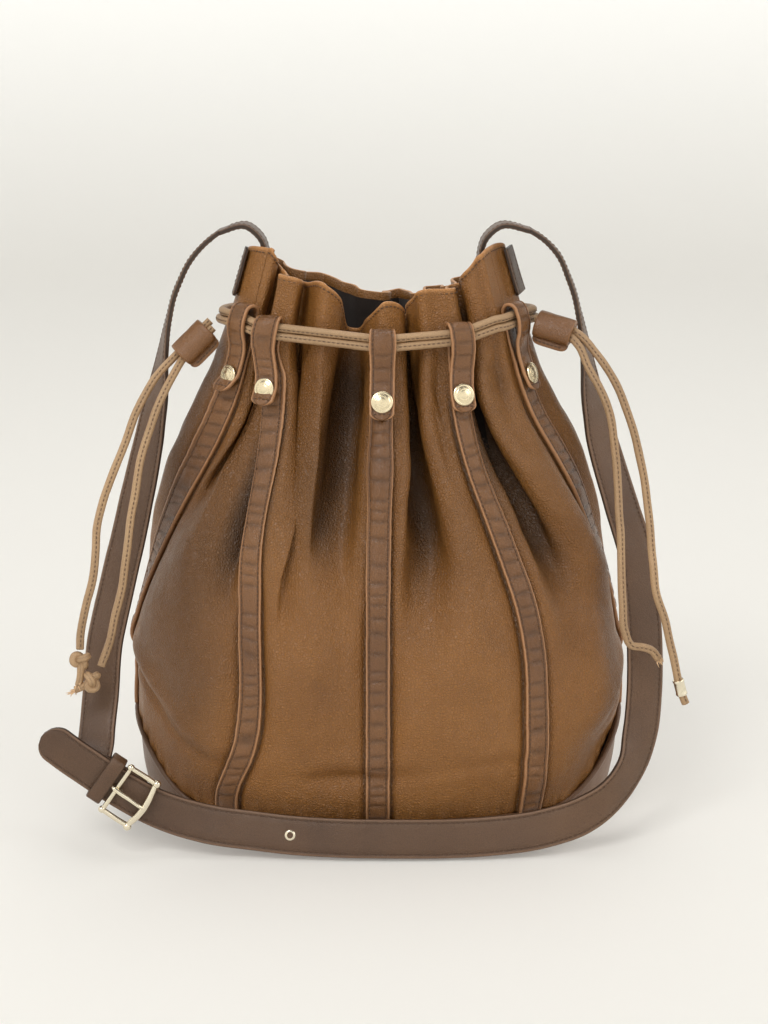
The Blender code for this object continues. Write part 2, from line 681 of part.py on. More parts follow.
def axis_matrix(start, end, width_towards):
    """Matrix at the middle of start and end: Z along them, X as near as it goes to width_towards."""
    along = (Vector(end) - Vector(start)).normalized()
    side = Vector(width_towards)
    side = (side - along * side.dot(along)).normalized()
    turn = Matrix((side, along.cross(side), along)).transposed()
    return Matrix.Translation((Vector(start) + Vector(end)) / 2) @ turn.to_4x4()


def slider_matrix(side):
    """Middle of the straight stretch that a cord's two ends share: Z outwards along it."""
    outer = [Vector(place) for place in TAIL_ROUTES[f"tail_{side}_outer"][:3]]
    inner = [Vector(place) for place in TAIL_ROUTES[f"tail_{side}_inner"][:3]]
    return axis_matrix((outer[0] + inner[0]) / 2, (outer[2] + inner[2]) / 2, inner[1] - outer[1])


def cord_slider(name, matrix):
    """Flattened leather sleeve that holds the two ends of a cord together."""
    turn = np.linspace(0, 2 * math.pi, 20, endpoint=False)
    half_x, half_y = SLIDER_HALF_BORE
    oval = np.stack([half_x * np.cos(turn), half_y * np.sin(turn), 0 * turn], axis=-1)
    rows = np.array([oval + (0, 0, z) for z in (-SLIDER_LENGTH / 2, 0, SLIDER_LENGTH / 2)])
    mesh = grid_mesh(name, rows, closed=True)
    if sum(p.normal.dot(Vector((p.center.x, p.center.y, 0))) for p in mesh.polygons) < 0:
        mesh.flip_normals()
    obj = solidify(add_object(name, mesh, STRIP_BROWN), SLIDER_THICKNESS, 1)
    obj.matrix_world = matrix
    return obj


def strap_ribbon(name, places, facings, thickness=STRAP_THICKNESS, width=STRAP_WIDTH):
    """A flat strap along places; facings are the directions that its outer face looks in."""
    places = np.asarray(places, float)
    facings = np.asarray(facings, float)
    reach = np.concatenate([[0], np.cumsum(np.linalg.norm(np.diff(places, axis=0), axis=1))])
    count = max(4, round(reach[-1] / 0.013))
    even = np.linspace(0, reach[-1], count)
    centre = np.stack([smooth_through(reach, places[:, axis], even) for axis in range(3)], axis=-1)
    facing = np.stack([np.interp(even, reach, facings[:, axis]) for axis in range(3)], axis=-1)
    along = np.gradient(centre, axis=0)
    along /= np.linalg.norm(along, axis=1, keepdims=True)
    across = np.cross(along, facing)
    across /= np.linalg.norm(across, axis=1, keepdims=True)
    rows = np.stack([centre - across * width / 2, centre, centre + across * width / 2], axis=1)
    return solidify(add_object(name, grid_mesh(name, rows), STRAP_BROWN), thickness, 0)


STRAP_LEFT = (
    ((-0.0905, 0.0, 0.3465), (-0.3, 0, 1)), ((-0.0985, 0.0, 0.3405), (-0.6, 0, 0.8)),
    ((-0.1080, 0.0, 0.3300), (-0.9, -0.05, 0.5)), ((-0.1160, 0.0, 0.3150), (-1, -0.10, 0.3)),
    ((-0.1215, -0.0010, 0.2970), (-1, -0.15, 0.2)), ((-0.1255, -0.0040, 0.2760), (-1, -0.35, 0.1)),
    ((-0.1285, -0.0100, 0.2550), (-0.9, -0.7, 0.1)), ((-0.1360, -0.0220, 0.2150), (-0.6, -1, 0.1)),
    ((-0.1460, -0.0350, 0.1700), (-0.4, -1, 0.1)), ((-0.1520, -0.0410, 0.1450), (-0.35, -1, 0.1)),
    ((-0.1585, -0.0500, 0.1150), (-0.3, -1, 0.1)), ((-0.1605, -0.0620, 0.0850), (-0.25, -1, 0.2)),
    ((-0.1615, -0.0750, 0.0660), (-0.28, -1, 0.3)),
)
STRAP_RIGHT = (
    ((0.0870, 0.0, 0.3475), (0.3, 0, 1)), ((0.0950, 0.0, 0.3425), (0.5, 0, 0.9)),
    ((0.1030, 0.0, 0.3345), (0.8, -0.05, 0.6)), ((0.1105, 0.0, 0.3200), (1, -0.1, 0.3)),
    ((0.1170, -0.0010, 0.2990), (1, -0.15, 0.2)), ((0.1215, -0.0040, 0.2770), (1, -0.35, 0.1)),
    ((0.1250, -0.0100, 0.2540), (0.9, -0.7, 0.1)), ((0.1300, -0.0160, 0.2310), (0.7, -1, 0.1)),
    ((0.1400, -0.0260, 0.1970), (0.5, -1, 0.1)), ((0.1505, -0.0350, 0.1630), (0.4, -1, 0.1)),
    ((0.1535, -0.0410, 0.1400), (0.35, -1, 0.1)), ((0.1555, -0.0480, 0.1110), (0.3, -1, 0.1)),
    ((0.1550, -0.0560, 0.0840), (0.3, -1, 0.15)), ((0.1525, -0.0640, 0.0660), (0.3, -1, 0.1)),
    ((0.1460, -0.0740, 0.0475), (0.5, -1, -0.1)), ((0.1340, -0.0820, 0.0330), (0.5, -1, 0.0)),
    ((0.1165, -0.0870, 0.0225), (0.25, -1, 0.2)), ((0.0950, -0.0905, 0.0165), (0.1, -1, 0.3)),
    ((0.0600, -0.0935, 0.0128), (0.05, -1, 0.35)), ((0.0130, -0.0950, 0.0122), (0, -1, 0.35)),
    ((-0.0500, -0.0940, 0.0142), (0, -1, 0.35)), ((-0.0700, -0.0925, 0.0160), (-0.1, -1, 0.4)),
    ((-0.1000, -0.0905, 0.0200), (-0.2, -1, 0.4)), ((-0.1250, -0.0890, 0.0280), (-0.3, -1, 0.3)),
    ((-0.1450, -0.0880, 0.0390), (-0.3, -1, 0.3)), ((-0.1640, -0.0870, 0.0520), (-0.3, -1, 0.3)),
    ((-0.1800, -0.0860, 0.0640), (-0.3, -1, 0.3)), ((-0.1900, -0.0855, 0.0720), (-0.3, -1, 0.3)),
)
BUCKLE_PLACE = STRAP_RIGHT[24][0]
BUCKLE_ALONG = (-0.80, 0.04, 0.56)
BUCKLE_FACING = STRAP_RIGHT[24][1]


def buckle_matrix():
    """Origin on the long strap at the buckle: X towards its tip, Z out of its outer face."""
    along = Vector(BUCKLE_ALONG).normalized()
    out = Vector(BUCKLE_FACING)
    out = (out - along * out.dot(along)).normalized()
    turn = Matrix((along, out.cross(along), out)).transposed()
    return Matrix.Translation(BUCKLE_PLACE) @ turn.to_4x4()


def short_strap():
    """The strap's left half, whose end lies behind the long half and reaches the buckle's bar."""
    places = [Vector(place) for place, _ in STRAP_LEFT]
    facings = [facing for _, facing in STRAP_LEFT]
    layer = -(STRAP_THICKNESS + 3 * GAP)
    for reach in (0.021, 0.013, 0.005, -0.002, -0.008):
        places.append(buckle_matrix() @ Vector((reach, 0, layer)))
        facings.append(buckle_matrix().to_3x3() @ Vector((0, 0, 1)))
    return strap_ribbon("strap_short", places, facings)


def strap_anchor(name, side, start_x, end):
    """Inner end of the strap: rises inside the mouth and bends out over the rim."""
    places = [(side * (start_x - 0.0005), 0.0, 0.3160), (side * start_x, 0.0, 0.3300)]
    places += [(side * (start_x + 0.0040), 0.0, 0.3440), (side * (start_x + 0.0110), 0.0, 0.3500)]
    places.append((end[0] - side * 0.0020, 0.0, end[2] + 0.0006))
    facings = [(-side, 0, 0), (-side, 0, 0), (-side * 0.8, 0, 0.6), (0, 0, 1), (side * 0.3, 0, 1)]
    return strap_ribbon(name, places, facings, width=ANCHOR_WIDTH)


def ear_band(name, u):
    """Outer end of the strap, sewn down the outside of the ear above the side tab."""
    z = np.linspace(*EAR_BAND_HEIGHTS, 4)
    facings = body_normal(u, z)
    places = body_point(u, z) + facings * EAR_BAND_THICKNESS
    return strap_ribbon(name, places, facings, thickness=EAR_BAND_THICKNESS, width=EAR_BAND_WIDTH)


def round_bar(name, places, diameter, matrix, finish=BUCKLE_METAL, closed=False, resolution=2):
    route = [matrix @ Vector(place) for place in places]
    return tube(name, route, diameter, finish, closed=closed, resolution=resolution)


def buckle(matrix):
    half, reach, corner = BUCKLE_HALF_WIDTH, BUCKLE_HALF_LENGTH, BUCKLE_CORNER
    ring = []
    for side_x, side_y, first in ((1, 1, 0), (-1, 1, 90), (-1, -1, 180), (1, -1, 270)):
        for degrees in (first, first + 45, first + 90):
            x = BUCKLE_SHIFT + side_x * (reach - corner) + corner * math.cos(math.radians(degrees))
            y = side_y * (half - corner) + corner * math.sin(math.radians(degrees))
            ring.append((x, y, BUCKLE_RISE))
    frame = round_bar("buckle_frame", ring, BUCKLE_BAR, matrix, closed=True)
    prong = round_bar("buckle_prong", PRONG_PLACES, PRONG_DIAMETER, matrix)
    return frame, prong


def strap_keeper(matrix):
    """Leather loop round the strap beside the buckle."""
    half_y, half_z, corner = KEEPER_HALF_WIDTH, KEEPER_HALF_DEPTH, KEEPER_CORNER
    outline = []
    for side_y, side_z, first in ((1, 1, 0), (-1, 1, 90), (-1, -1, 180), (1, -1, 270)):
        for degrees in (first, first + 45, first + 90):
            y = side_y * (half_y - corner) + corner * math.cos(math.radians(degrees))
            z = side_z * (half_z - corner) + corner * math.sin(math.radians(degrees))
            outline.append((y, z))
    rows = np.array([[(x, y, z) for y, z in outline] for x in (-KEEPER_LENGTH / 2, KEEPER_LENGTH / 2)])
    mesh = grid_mesh("strap_keeper", rows, closed=True)
    if sum(p.normal.dot(Vector((0, p.center.y, p.center.z))) for p in mesh.polygons) < 0:
        mesh.flip_normals()
    keeper = solidify(add_object("strap_keeper", mesh, STRAP_BROWN), KEEPER_THICKNESS, 1)
    keeper.matrix_world = matrix
    return keeper


def build():
    body_panel("front_panel", 0, LEATHER_BROWN)
    body_panel("back_panel", 4, LEATHER_BROWN)
    base_panel()
    base_board()
    base_piping()
    lining()
    names = ("left", "front_left", "front", "front_right", "right", "back_right", "back", "back_left")
    for index, place in enumerate(names):
        strip(index, f"strip_{place}")
        tab(index, f"tab_{place}")
        snap_cap(index, f"snap_cap_{place}")
        snap_stud(index, f"snap_stud_{place}")
    spread = CORD_DIAMETER / 2 + GAP / 2
    drawcord("drawcord_upper", spread)
    drawcord("drawcord_lower", -spread)
    tails()
    knot("knot_left_outer", (-0.1686, -0.0742, 0.1128), (0.0055, 0.0050, 0.0060))
    knot("knot_left_inner", (-0.1622, -0.0760, 0.1010), (0.0065, 0.0055, 0.0052))
    cord_slider("slider_left", slider_matrix("left") @ Matrix.Translation((0, 0, SLIDER_LEFT_SHIFT)))
    cord_slider("slider_right", slider_matrix("right") @ Matrix.Translation((0, 0, SLIDER_RIGHT_SHIFT)))
    short_strap()
    strap_ribbon("strap_long", [p for p, _ in STRAP_RIGHT], [f for _, f in STRAP_RIGHT])
    strap_anchor("strap_anchor_left", -1, 0.0635, STRAP_LEFT[0][0])
    strap_anchor("strap_anchor_right", 1, 0.0585, STRAP_RIGHT[0][0])
    ear_band("ear_band_left", EAR_BAND_LEFT_U)
    ear_band("ear_band_right", EAR_BAND_RIGHT_U)
    tip_ferrule()
    strap_eyelet()
    buckle(buckle_matrix())
    strap_keeper(buckle_matrix() @ Matrix.Translation(KEEPER_PLACE))


build()
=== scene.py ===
"""Leather bucket bag: the visual model over the CAD frame. Metres, +Z up, -Y to the front.

The leather's place around the bag is u: 0 at the left side seam, 2 at the front centre, 4 at the
right side seam, 6 at the back centre. A strip lies at each whole u.
"""

import math

import bpy
import numpy as np
from mathutils import Matrix, Vector


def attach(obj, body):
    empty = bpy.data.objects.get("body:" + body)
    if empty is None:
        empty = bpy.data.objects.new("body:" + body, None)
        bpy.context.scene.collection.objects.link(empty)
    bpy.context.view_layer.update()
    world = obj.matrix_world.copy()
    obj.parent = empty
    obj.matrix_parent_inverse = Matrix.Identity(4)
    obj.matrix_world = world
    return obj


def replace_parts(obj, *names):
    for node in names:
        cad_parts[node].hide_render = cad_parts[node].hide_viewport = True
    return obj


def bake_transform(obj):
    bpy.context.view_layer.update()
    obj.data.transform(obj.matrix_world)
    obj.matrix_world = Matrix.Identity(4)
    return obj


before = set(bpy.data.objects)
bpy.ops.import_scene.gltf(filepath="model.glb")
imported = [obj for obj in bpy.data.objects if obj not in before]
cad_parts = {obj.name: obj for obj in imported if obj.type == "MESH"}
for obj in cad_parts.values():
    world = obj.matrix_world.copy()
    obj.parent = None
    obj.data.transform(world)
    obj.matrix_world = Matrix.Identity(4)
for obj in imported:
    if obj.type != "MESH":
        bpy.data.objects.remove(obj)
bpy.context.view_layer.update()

PLACES = ("left", "front_left", "front", "front_right", "right", "back_right", "back", "back_left")
STRIPS = 8
LEATHER = 0.0020
BASE_EXPONENT = 2.3
BASE_HALF_LENGTH = 0.140
BASE_HALF_DEPTH = 0.074
SEAM_FRONT_HEIGHT = 0.014
SEAM_SIDE_RISE = 0.046
CORD_DIAMETER = 0.0046
CORD_OUT = 0.0056
ARCH_RADIUS = 0.0043
TAB_THICKNESS = 0.0018
TAB_LENGTH = 0.043
SNAP_BELOW_CORD = 0.0335
TAB_OUT = 0.0052
STRIP_HALF_WIDTH = 0.0070
STRAP_WIDTH = 0.0220
STRAP_THICKNESS = 0.0026
BUCKLE_SHIFT = -0.0045
BUCKLE_HALF_WIDTH = 0.0150
BUCKLE_HALF_LENGTH = 0.0085
BUCKLE_RISE = 0.0036
KEEPER_PLACE = (0.0118, 0, -0.0018)
KEEPER_HALF = (0.0130, 0.0050)
ANCHOR_WIDTH = 0.018
EAR_BAND_WIDTH = 0.016
EAR_BAND_U = {"left": 7.79, "right": 4.32}
EAR_BAND_HEIGHTS = (0.3110, 0.3370)
SLEEVE_HALF = (0.0083, 0.0061)
SLEEVE_SHIFT = {"left": 0.0030, "right": 0.0016}
DRAWCORD_SPREAD = 0.00245
PIPING_RADIUS = 0.00155
LINING_GAP = 0.0005
LINING_THICKNESS = 0.0009
CREASE_TOP = 0.292
CREASE_DEPTH = 1.25
STRIP_STITCH_INSET = 0.0021
STRAP_STITCH_INSET = 0.0022
MM = 0.001
EYELET_STATION = 20
LEATHER_PER_U = 0.0925
GAP = 0.0003


# ---------------------------------------------------------------- camera

def add_camera():
    data = bpy.data.cameras.new("camera")
    data.sensor_width = 36
    data.lens = 58.6
    data.clip_start = 0.01
    camera = bpy.data.objects.new("camera", data)
    camera.location = (0.0036, -0.9659, 0.4388)
    camera.rotation_euler = (math.radians(75), 0, 0)
    bpy.context.scene.collection.objects.link(camera)
    bpy.context.scene.camera = camera


add_camera()


# ---------------------------------------------------------------- shape of the body

# The strips hang almost straight from the cords to the snaps, at this half width of the neck.
NECK_HALF_WIDTH = 0.0876

# Half width and half depth of the body at each height, before the pleats.
PROFILE_Z = (0.000, 0.030, 0.065, 0.100, 0.130, 0.160, 0.180, 0.203, 0.225, 0.245, 0.266, 0.308, 0.340)
PROFILE_X = (
    0.1400, 0.1455, 0.1470, 0.1455, 0.1430, 0.1390, 0.1345, 0.1275, 0.1180, 0.1075, 0.0980, 0.0830,
    0.0730
)
PROFILE_Y = (
    0.0740, 0.0790, 0.0830, 0.0830, 0.0810, 0.0780, 0.0745, 0.0700, 0.0640, 0.0570, 0.0500, 0.0445,
    0.0440
)

# The gathered mouth at cord height, as shares of the half width and half depth: one list of
# places for each stretch from a strip to the next, starting with the strip.
MOUTH = (
    ((-0.84, -0.50), (-0.785, -0.56), (-0.755, -0.48), (-0.745, -0.33), (-0.69, -0.38), (-0.71, -0.64)),
    (
        (-0.68, -0.78), (-0.57, -0.80), (-0.52, -0.42), (-0.45, -0.62), (-0.36, -0.86), (-0.25, -0.72),
        (-0.17, -0.42)
    ),
    ((0.03, -1.00), (0.13, -0.86), (0.17, -0.38), (0.22, -0.66), (0.30, -0.86), (0.42, -0.84)),
    ((0.51, -0.82), (0.55, -0.36), (0.63, -0.66), (0.75, -0.68)),
    ((0.86, -0.40), (0.93, -0.14), (1.00, 0.12), (0.92, 0.46), (0.80, 0.44)),
    ((0.67, 0.80), (0.56, 0.72), (0.51, 0.36), (0.44, 0.70), (0.34, 0.66), (0.29, 0.42)),
    ((0.15, 0.90), (0.05, 0.76), (0.01, 0.26), (-0.12, 0.24), (-0.26, 0.58)),
    (
        (-0.44, 0.92), (-0.57, 0.70), (-0.60, 0.42), (-0.72, 0.72), (-0.86, 0.48), (-0.97, 0.20),
        (-0.99, -0.10), (-0.93, -0.34)
    ),
)

RIM_U = (
    0.00, 0.31, 0.55, 0.80, 1.00, 1.25, 1.47, 1.60, 1.72, 1.85, 2.00, 2.15, 2.30, 2.43, 2.60, 2.75,
    3.00, 3.33, 3.58, 3.75, 4.00, 4.36, 4.58, 5.00, 5.50, 6.00, 6.50, 7.00, 7.40, 7.68, 7.80,
)
RIM_Z = (
    0.339, 0.332, 0.327, 0.326, 0.326, 0.320, 0.320, 0.310,
    0.294, 0.301, 0.311, 0.310, 0.303, 0.301, 0.311, 0.317,
    0.318, 0.318, 0.327, 0.335, 0.339, 0.338, 0.330, 0.318, 0.312, 0.308, 0.312, 0.318, 0.326, 0.336, 0.338,
)
CORD_Z = (0.3000, 0.2955, 0.2900, 0.2925, 0.3000, 0.2950, 0.2920, 0.2950)

# The second strip is drawn towards the centre between the base and the gathers.
DRIFT_Z = (0.00, 0.025, 0.06, 0.14, 0.20, 0.26)
DRIFT = (0.00, 0.02, 0.17, 0.17, 0.03, 0.00)


def smooth_through(knots, values, at, period=None):
    """Cubic Hermite curve through values at knots, read at each place in at."""
    knots = np.asarray(knots, float)
    values = np.asarray(values, float)
    at = np.asarray(at, float)
    if period:
        at = np.mod(at, period)
        knots = np.concatenate([knots[-3:] - period, knots, knots[:3] + period])
        values = np.concatenate([values[-3:], values, values[:3]])
    at = np.clip(at, knots[0], knots[-1])
    slopes = np.gradient(values, knots)
    cell = np.clip(np.searchsorted(knots, at, side="right") - 1, 0, len(knots) - 2)
    span = knots[cell + 1] - knots[cell]
    t = (at - knots[cell]) / span
    start = (1 + 2 * t) * (1 - t) ** 2 * values[cell] + t * (1 - t) ** 2 * span * slopes[cell]
    end = t * t * (3 - 2 * t) * values[cell + 1] + t * t * (t - 1) * span * slopes[cell + 1]
    return start + end


def lengths(points):
    """Length along the line of points up to each of them."""
    return np.concatenate([[0], np.cumsum(np.linalg.norm(np.diff(points, axis=0), axis=1))])


def straight_rows(at, knots, rows):
    """Each column of rows, known at knots, read at each place in at on straight lines."""
    return np.stack([np.interp(at, knots, column) for column in np.asarray(rows, float).T], axis=-1)


def smooth_rows(at, knots, rows, period=None):
    """Each column of rows, known at knots, read at each place in at on smooth curves."""
    columns = np.asarray(rows, float).T
    return np.stack([smooth_through(knots, column, at, period) for column in columns], axis=-1)


def smooth_step(low, high, at):
    t = np.clip((np.asarray(at, float) - low) / (high - low), 0, 1)
    return t * t * (3 - 2 * t)


def oval_table():
    """(u, x, y): a superellipse of unit half width and half depth, evenly spaced by its real length."""
    turn = np.linspace(0, 2 * math.pi, 1441)
    power = 2 / BASE_EXPONENT
    x = -np.sign(np.cos(turn)) * np.abs(np.cos(turn)) ** power
    y = -np.sign(np.sin(turn)) * np.abs(np.sin(turn)) ** power
    steps = np.hypot(np.diff(x) * BASE_HALF_LENGTH, np.diff(y) * BASE_HALF_DEPTH)
    length = np.concatenate([[0], np.cumsum(steps)])
    return length / length[-1] * STRIPS, x, y


def mouth_table():
    """(u, x, y) of the mouth's places, spaced by length between one strip and the next."""
    rows = []
    for strip, stretch in enumerate(MOUTH):
        ends = list(stretch) + [MOUTH[(strip + 1) % STRIPS][0]]
        sides = [math.hypot((b[0] - a[0]) * 2, b[1] - a[1]) for a, b in zip(ends, ends[1:])]
        reach = 0.0
        for place, side in zip(stretch, sides):
            rows.append((strip + reach / sum(sides), place[0], place[1]))
            reach += side
    return np.array(rows).T


OVAL = oval_table()
MOUTH_CURVE = mouth_table()


def body_point(u, z):
    """The outer surface of the body leather at u and height z."""
    u = np.asarray(u, float)
    z = np.asarray(z, float)
    half_x = smooth_through(PROFILE_Z, PROFILE_X, z)
    half_y = smooth_through(PROFILE_Z, PROFILE_Y, z)
    near_second = np.clip(1 - np.abs(np.mod(u, STRIPS) - 1.0), 0, 1)
    around = np.mod(u + smooth_through(DRIFT_Z, DRIFT, z) * smooth_step(0, 1, near_second), STRIPS)
    oval_x = np.interp(around, OVAL[0], OVAL[1])
    oval_y = np.interp(around, OVAL[0], OVAL[2])
    mouth_x = smooth_through(MOUTH_CURVE[0], MOUTH_CURVE[1], u, STRIPS)
    mouth_y = smooth_through(MOUTH_CURVE[0], MOUTH_CURVE[2], u, STRIPS)
    gathered = smooth_step(0.09, 0.292, z) ** 1.25
    at_side = smooth_step(0.60, 1.00, np.abs(mouth_x))
    above_snaps = smooth_step(0.262, 0.302, z)
    neck_x = NECK_HALF_WIDTH + (half_x - NECK_HALF_WIDTH) * np.maximum(at_side, above_snaps)
    x = half_x * oval_x + gathered * (neck_x * mouth_x - half_x * oval_x)
    y = half_y * (oval_y + gathered * (mouth_y - oval_y))
    return np.stack([x, y, z + 0 * x], axis=-1)


def body_tangent(u, z):
    step = 0.02
    along = body_point(np.asarray(u) + step, z) - body_point(np.asarray(u) - step, z)
    return along / np.linalg.norm(along, axis=-1, keepdims=True)


def body_normal(u, z):
    step = 0.003
    z = np.asarray(z, float)
    up = body_point(u, z + step) - body_point(u, z - step)
    normal = np.cross(body_tangent(u, z), up)
    return normal / np.linalg.norm(normal, axis=-1, keepdims=True)


def seam_height(u):
    """Height of the boat-shaped seam between the body and the base."""
    out = np.abs(np.interp(np.mod(u, STRIPS), OVAL[0], OVAL[1]))
    return SEAM_FRONT_HEIGHT + SEAM_SIDE_RISE * np.clip((out - 0.68) / 0.32, 0, 1) ** 2.2


def rim_height(u):
    return smooth_through(RIM_U, RIM_Z, u, STRIPS)


def drawcord_route(above, count):
    """A taut loop round the gathers: the mouth's outline seen from above, stretched tight."""
    u = np.linspace(0, STRIPS, 480, endpoint=False)
    z = smooth_through(range(STRIPS), CORD_Z, u, STRIPS) + above
    outline = body_point(u, z)
    loop = []
    for turn in np.linspace(-math.pi, math.pi, 720, endpoint=False):
        away = np.array([math.cos(turn), math.sin(turn), 0])
        loop.append(outline[np.argmax(outline @ away)] + away * CORD_OUT)
    loop = np.array(loop + loop[:1])
    reach = lengths(loop)
    return straight_rows(np.linspace(0, reach[-1], count, endpoint=False), reach, loop)


CORD_LOOP = drawcord_route(0, 400)


def held_cord(strip, along):
    """(places, outward normals) of the cord's centre line, at distances along it from a strip."""
    size = len(CORD_LOOP)
    spacing = np.linalg.norm(CORD_LOOP[1] - CORD_LOOP[0])
    nearest = int(np.argmin(np.linalg.norm(CORD_LOOP - body_point(strip, CORD_Z[strip]), axis=1)))
    index = nearest + np.asarray(along, float) / spacing
    span = 8

    def at(where):
        low = np.floor(where).astype(int)
        share = (where - low)[..., None]
        return CORD_LOOP[low % size] * (1 - share) + CORD_LOOP[(low + 1) % size] * share

    ahead = (at(index + span) - at(index - span)) * (1, 1, 0)
    ahead = ahead / np.linalg.norm(ahead, axis=-1, keepdims=True)
    return at(index), np.stack([ahead[..., 1], -ahead[..., 0], 0 * ahead[..., 0]], axis=-1)


def fold_side(strip):
    """Horizontal direction of the cords, and of a tab's width, at a strip."""
    out = held_cord(strip, 0)[1]
    return np.array([-out[1], out[0], 0])


def fold_normal(strip, z):
    """Outward normal of a tab at height z: square to the cords and to the body's slope."""
    step = 0.003
    z = np.asarray(z, float)
    up = body_point(strip, z + step) - body_point(strip, z - step)
    normal = np.cross(fold_side(strip), up)
    return normal / np.linalg.norm(normal, axis=-1, keepdims=True)


def arch(strip, first_degrees, last_degrees, count):
    """Places round the upper cord, from behind it (180) over its top (90) to its front (0)."""
    top = CORD_Z[strip] + CORD_DIAMETER / 2 + GAP / 2
    turns = np.radians(np.linspace(first_degrees, last_degrees, count))
    return [(top + ARCH_RADIUS * math.sin(a), CORD_OUT + ARCH_RADIUS * math.cos(a)) for a in turns]


def snap_place(index):
    """Matrix of a snap: its Z axis points out of the bag, its X axis lies along the tab's width."""
    z = CORD_Z[index] - SNAP_BELOW_CORD
    out = Vector(fold_normal(index, z))
    side = Vector(fold_side(index))
    turn = Matrix((side, out.cross(side), out)).transposed()
    return Matrix.Translation(Vector(body_point(index, z))) @ turn.to_4x4()


def smooth_route(points, spacing):
    """Evenly spaced places on a smooth curve through the points."""
    points = np.asarray(points, float)
    reach = lengths(points)
    dense = smooth_rows(np.linspace(0, reach[-1], 400), reach, points)
    length = lengths(dense)
    even = np.linspace(0, length[-1], max(3, round(length[-1] / spacing)))
    return straight_rows(even, length, dense)


TAIL_ROUTES = {
    "tail_left_outer": (
        (-0.0960, -0.0145, 0.2975), (-0.1042, -0.0163, 0.2896), (-0.1123, -0.0180, 0.2816),
        (-0.1200, -0.0240, 0.2740), (-0.1279, -0.0320, 0.2652), (-0.1350, -0.0400, 0.2520),
        (-0.1428, -0.0480, 0.2318), (-0.1500, -0.0540, 0.2140), (-0.1546, -0.0580, 0.2013),
        (-0.1575, -0.0610, 0.1886), (-0.1584, -0.0640, 0.1747), (-0.1600, -0.0670, 0.1608),
        (-0.1646, -0.0700, 0.1454), (-0.1680, -0.0730, 0.1300), (-0.1686, -0.0740, 0.1195),
    ),
    "tail_left_inner": (
        (-0.0941, -0.0180, 0.2940), (-0.1023, -0.0198, 0.2861), (-0.1104, -0.0215, 0.2781),
        (-0.1155, -0.0290, 0.2700), (-0.1205, -0.0370, 0.2602), (-0.1276, -0.0440, 0.2443),
        (-0.1331, -0.0500, 0.2264), (-0.1371, -0.0550, 0.2066), (-0.1401, -0.0600, 0.1833),
        (-0.1431, -0.0640, 0.1649), (-0.1467, -0.0680, 0.1447), (-0.1515, -0.0720, 0.1251),
        (-0.1570, -0.0745, 0.1095),
    ),
    "tail_right_outer": (
        (0.0905, -0.0125, 0.2985), (0.1000, -0.0160, 0.2960), (0.1095, -0.0195, 0.2935),
        (0.1150, -0.0225, 0.2905), (0.1232, -0.0280, 0.2816), (0.1338, -0.0370, 0.2660),
        (0.1410, -0.0440, 0.2481), (0.1467, -0.0490, 0.2300), (0.1501, -0.0530, 0.2147),
        (0.1525, -0.0570, 0.1963), (0.1542, -0.0600, 0.1827), (0.1559, -0.0640, 0.1673),
        (0.1577, -0.0680, 0.1501), (0.1629, -0.0710, 0.1335), (0.1677, -0.0740, 0.1159),
        (0.1709, -0.0760, 0.1009), (0.1730, -0.0760, 0.0936), (0.1755, -0.0760, 0.0875),
    ),
    "tail_right_inner": (
        (0.0900, -0.0161, 0.2948), (0.0995, -0.0196, 0.2923), (0.1090, -0.0231, 0.2898),
        (0.1140, -0.0282, 0.2852), (0.1188, -0.0345, 0.2749), (0.1257, -0.0410, 0.2629),
        (0.1312, -0.0470, 0.2468), (0.1339, -0.0520, 0.2305), (0.1356, -0.0560, 0.2107),
        (0.1364, -0.0600, 0.1919), (0.1371, -0.0650, 0.1673), (0.1380, -0.0690, 0.1441),
        (0.1398, -0.0710, 0.1295), (0.1440, -0.0715, 0.1209), (0.1503, -0.0710, 0.1197),
        (0.1560, -0.0700, 0.1172), (0.1600, -0.0690, 0.1120),
    ),
}


def axis_matrix(start, end, width_towards):
    """Matrix at the middle of start and end: Z along them, X as near as it goes to width_towards."""
    along = (Vector(end) - Vector(start)).normalized()
    side = Vector(width_towards)
    side = (side - along * side.dot(along)).normalized()
    turn = Matrix((side, along.cross(side), along)).transposed()
    return Matrix.Translation((Vector(start) + Vector(end)) / 2) @ turn.to_4x4()


def slider_matrix(side):
    """Middle of the straight stretch that a cord's two ends share: Z outwards along it."""
    outer = [Vector(place) for place in TAIL_ROUTES[f"tail_{side}_outer"][:3]]
    inner = [Vector(place) for place in TAIL_ROUTES[f"tail_{side}_inner"][:3]]
    return axis_matrix((outer[0] + inner[0]) / 2, (outer[2] + inner[2]) / 2, inner[1] - outer[1])


STRAP_LEFT = (
    ((-0.0905, 0.0, 0.3465), (-0.3, 0, 1)), ((-0.0985, 0.0, 0.3405), (-0.6, 0, 0.8)),
    ((-0.1080, 0.0, 0.3300), (-0.9, -0.05, 0.5)), ((-0.1160, 0.0, 0.3150), (-1, -0.10, 0.3)),
    ((-0.1215, -0.0010, 0.2970), (-1, -0.15, 0.2)), ((-0.1255, -0.0040, 0.2760), (-1, -0.35, 0.1)),
    ((-0.1285, -0.0100, 0.2550), (-0.9, -0.7, 0.1)), ((-0.1360, -0.0220, 0.2150), (-0.6, -1, 0.1)),
    ((-0.1460, -0.0350, 0.1700), (-0.4, -1, 0.1)), ((-0.1520, -0.0410, 0.1450), (-0.35, -1, 0.1)),
    ((-0.1585, -0.0500, 0.1150), (-0.3, -1, 0.1)), ((-0.1605, -0.0620, 0.0850), (-0.25, -1, 0.2)),
    ((-0.1615, -0.0750, 0.0660), (-0.28, -1, 0.3)),
)
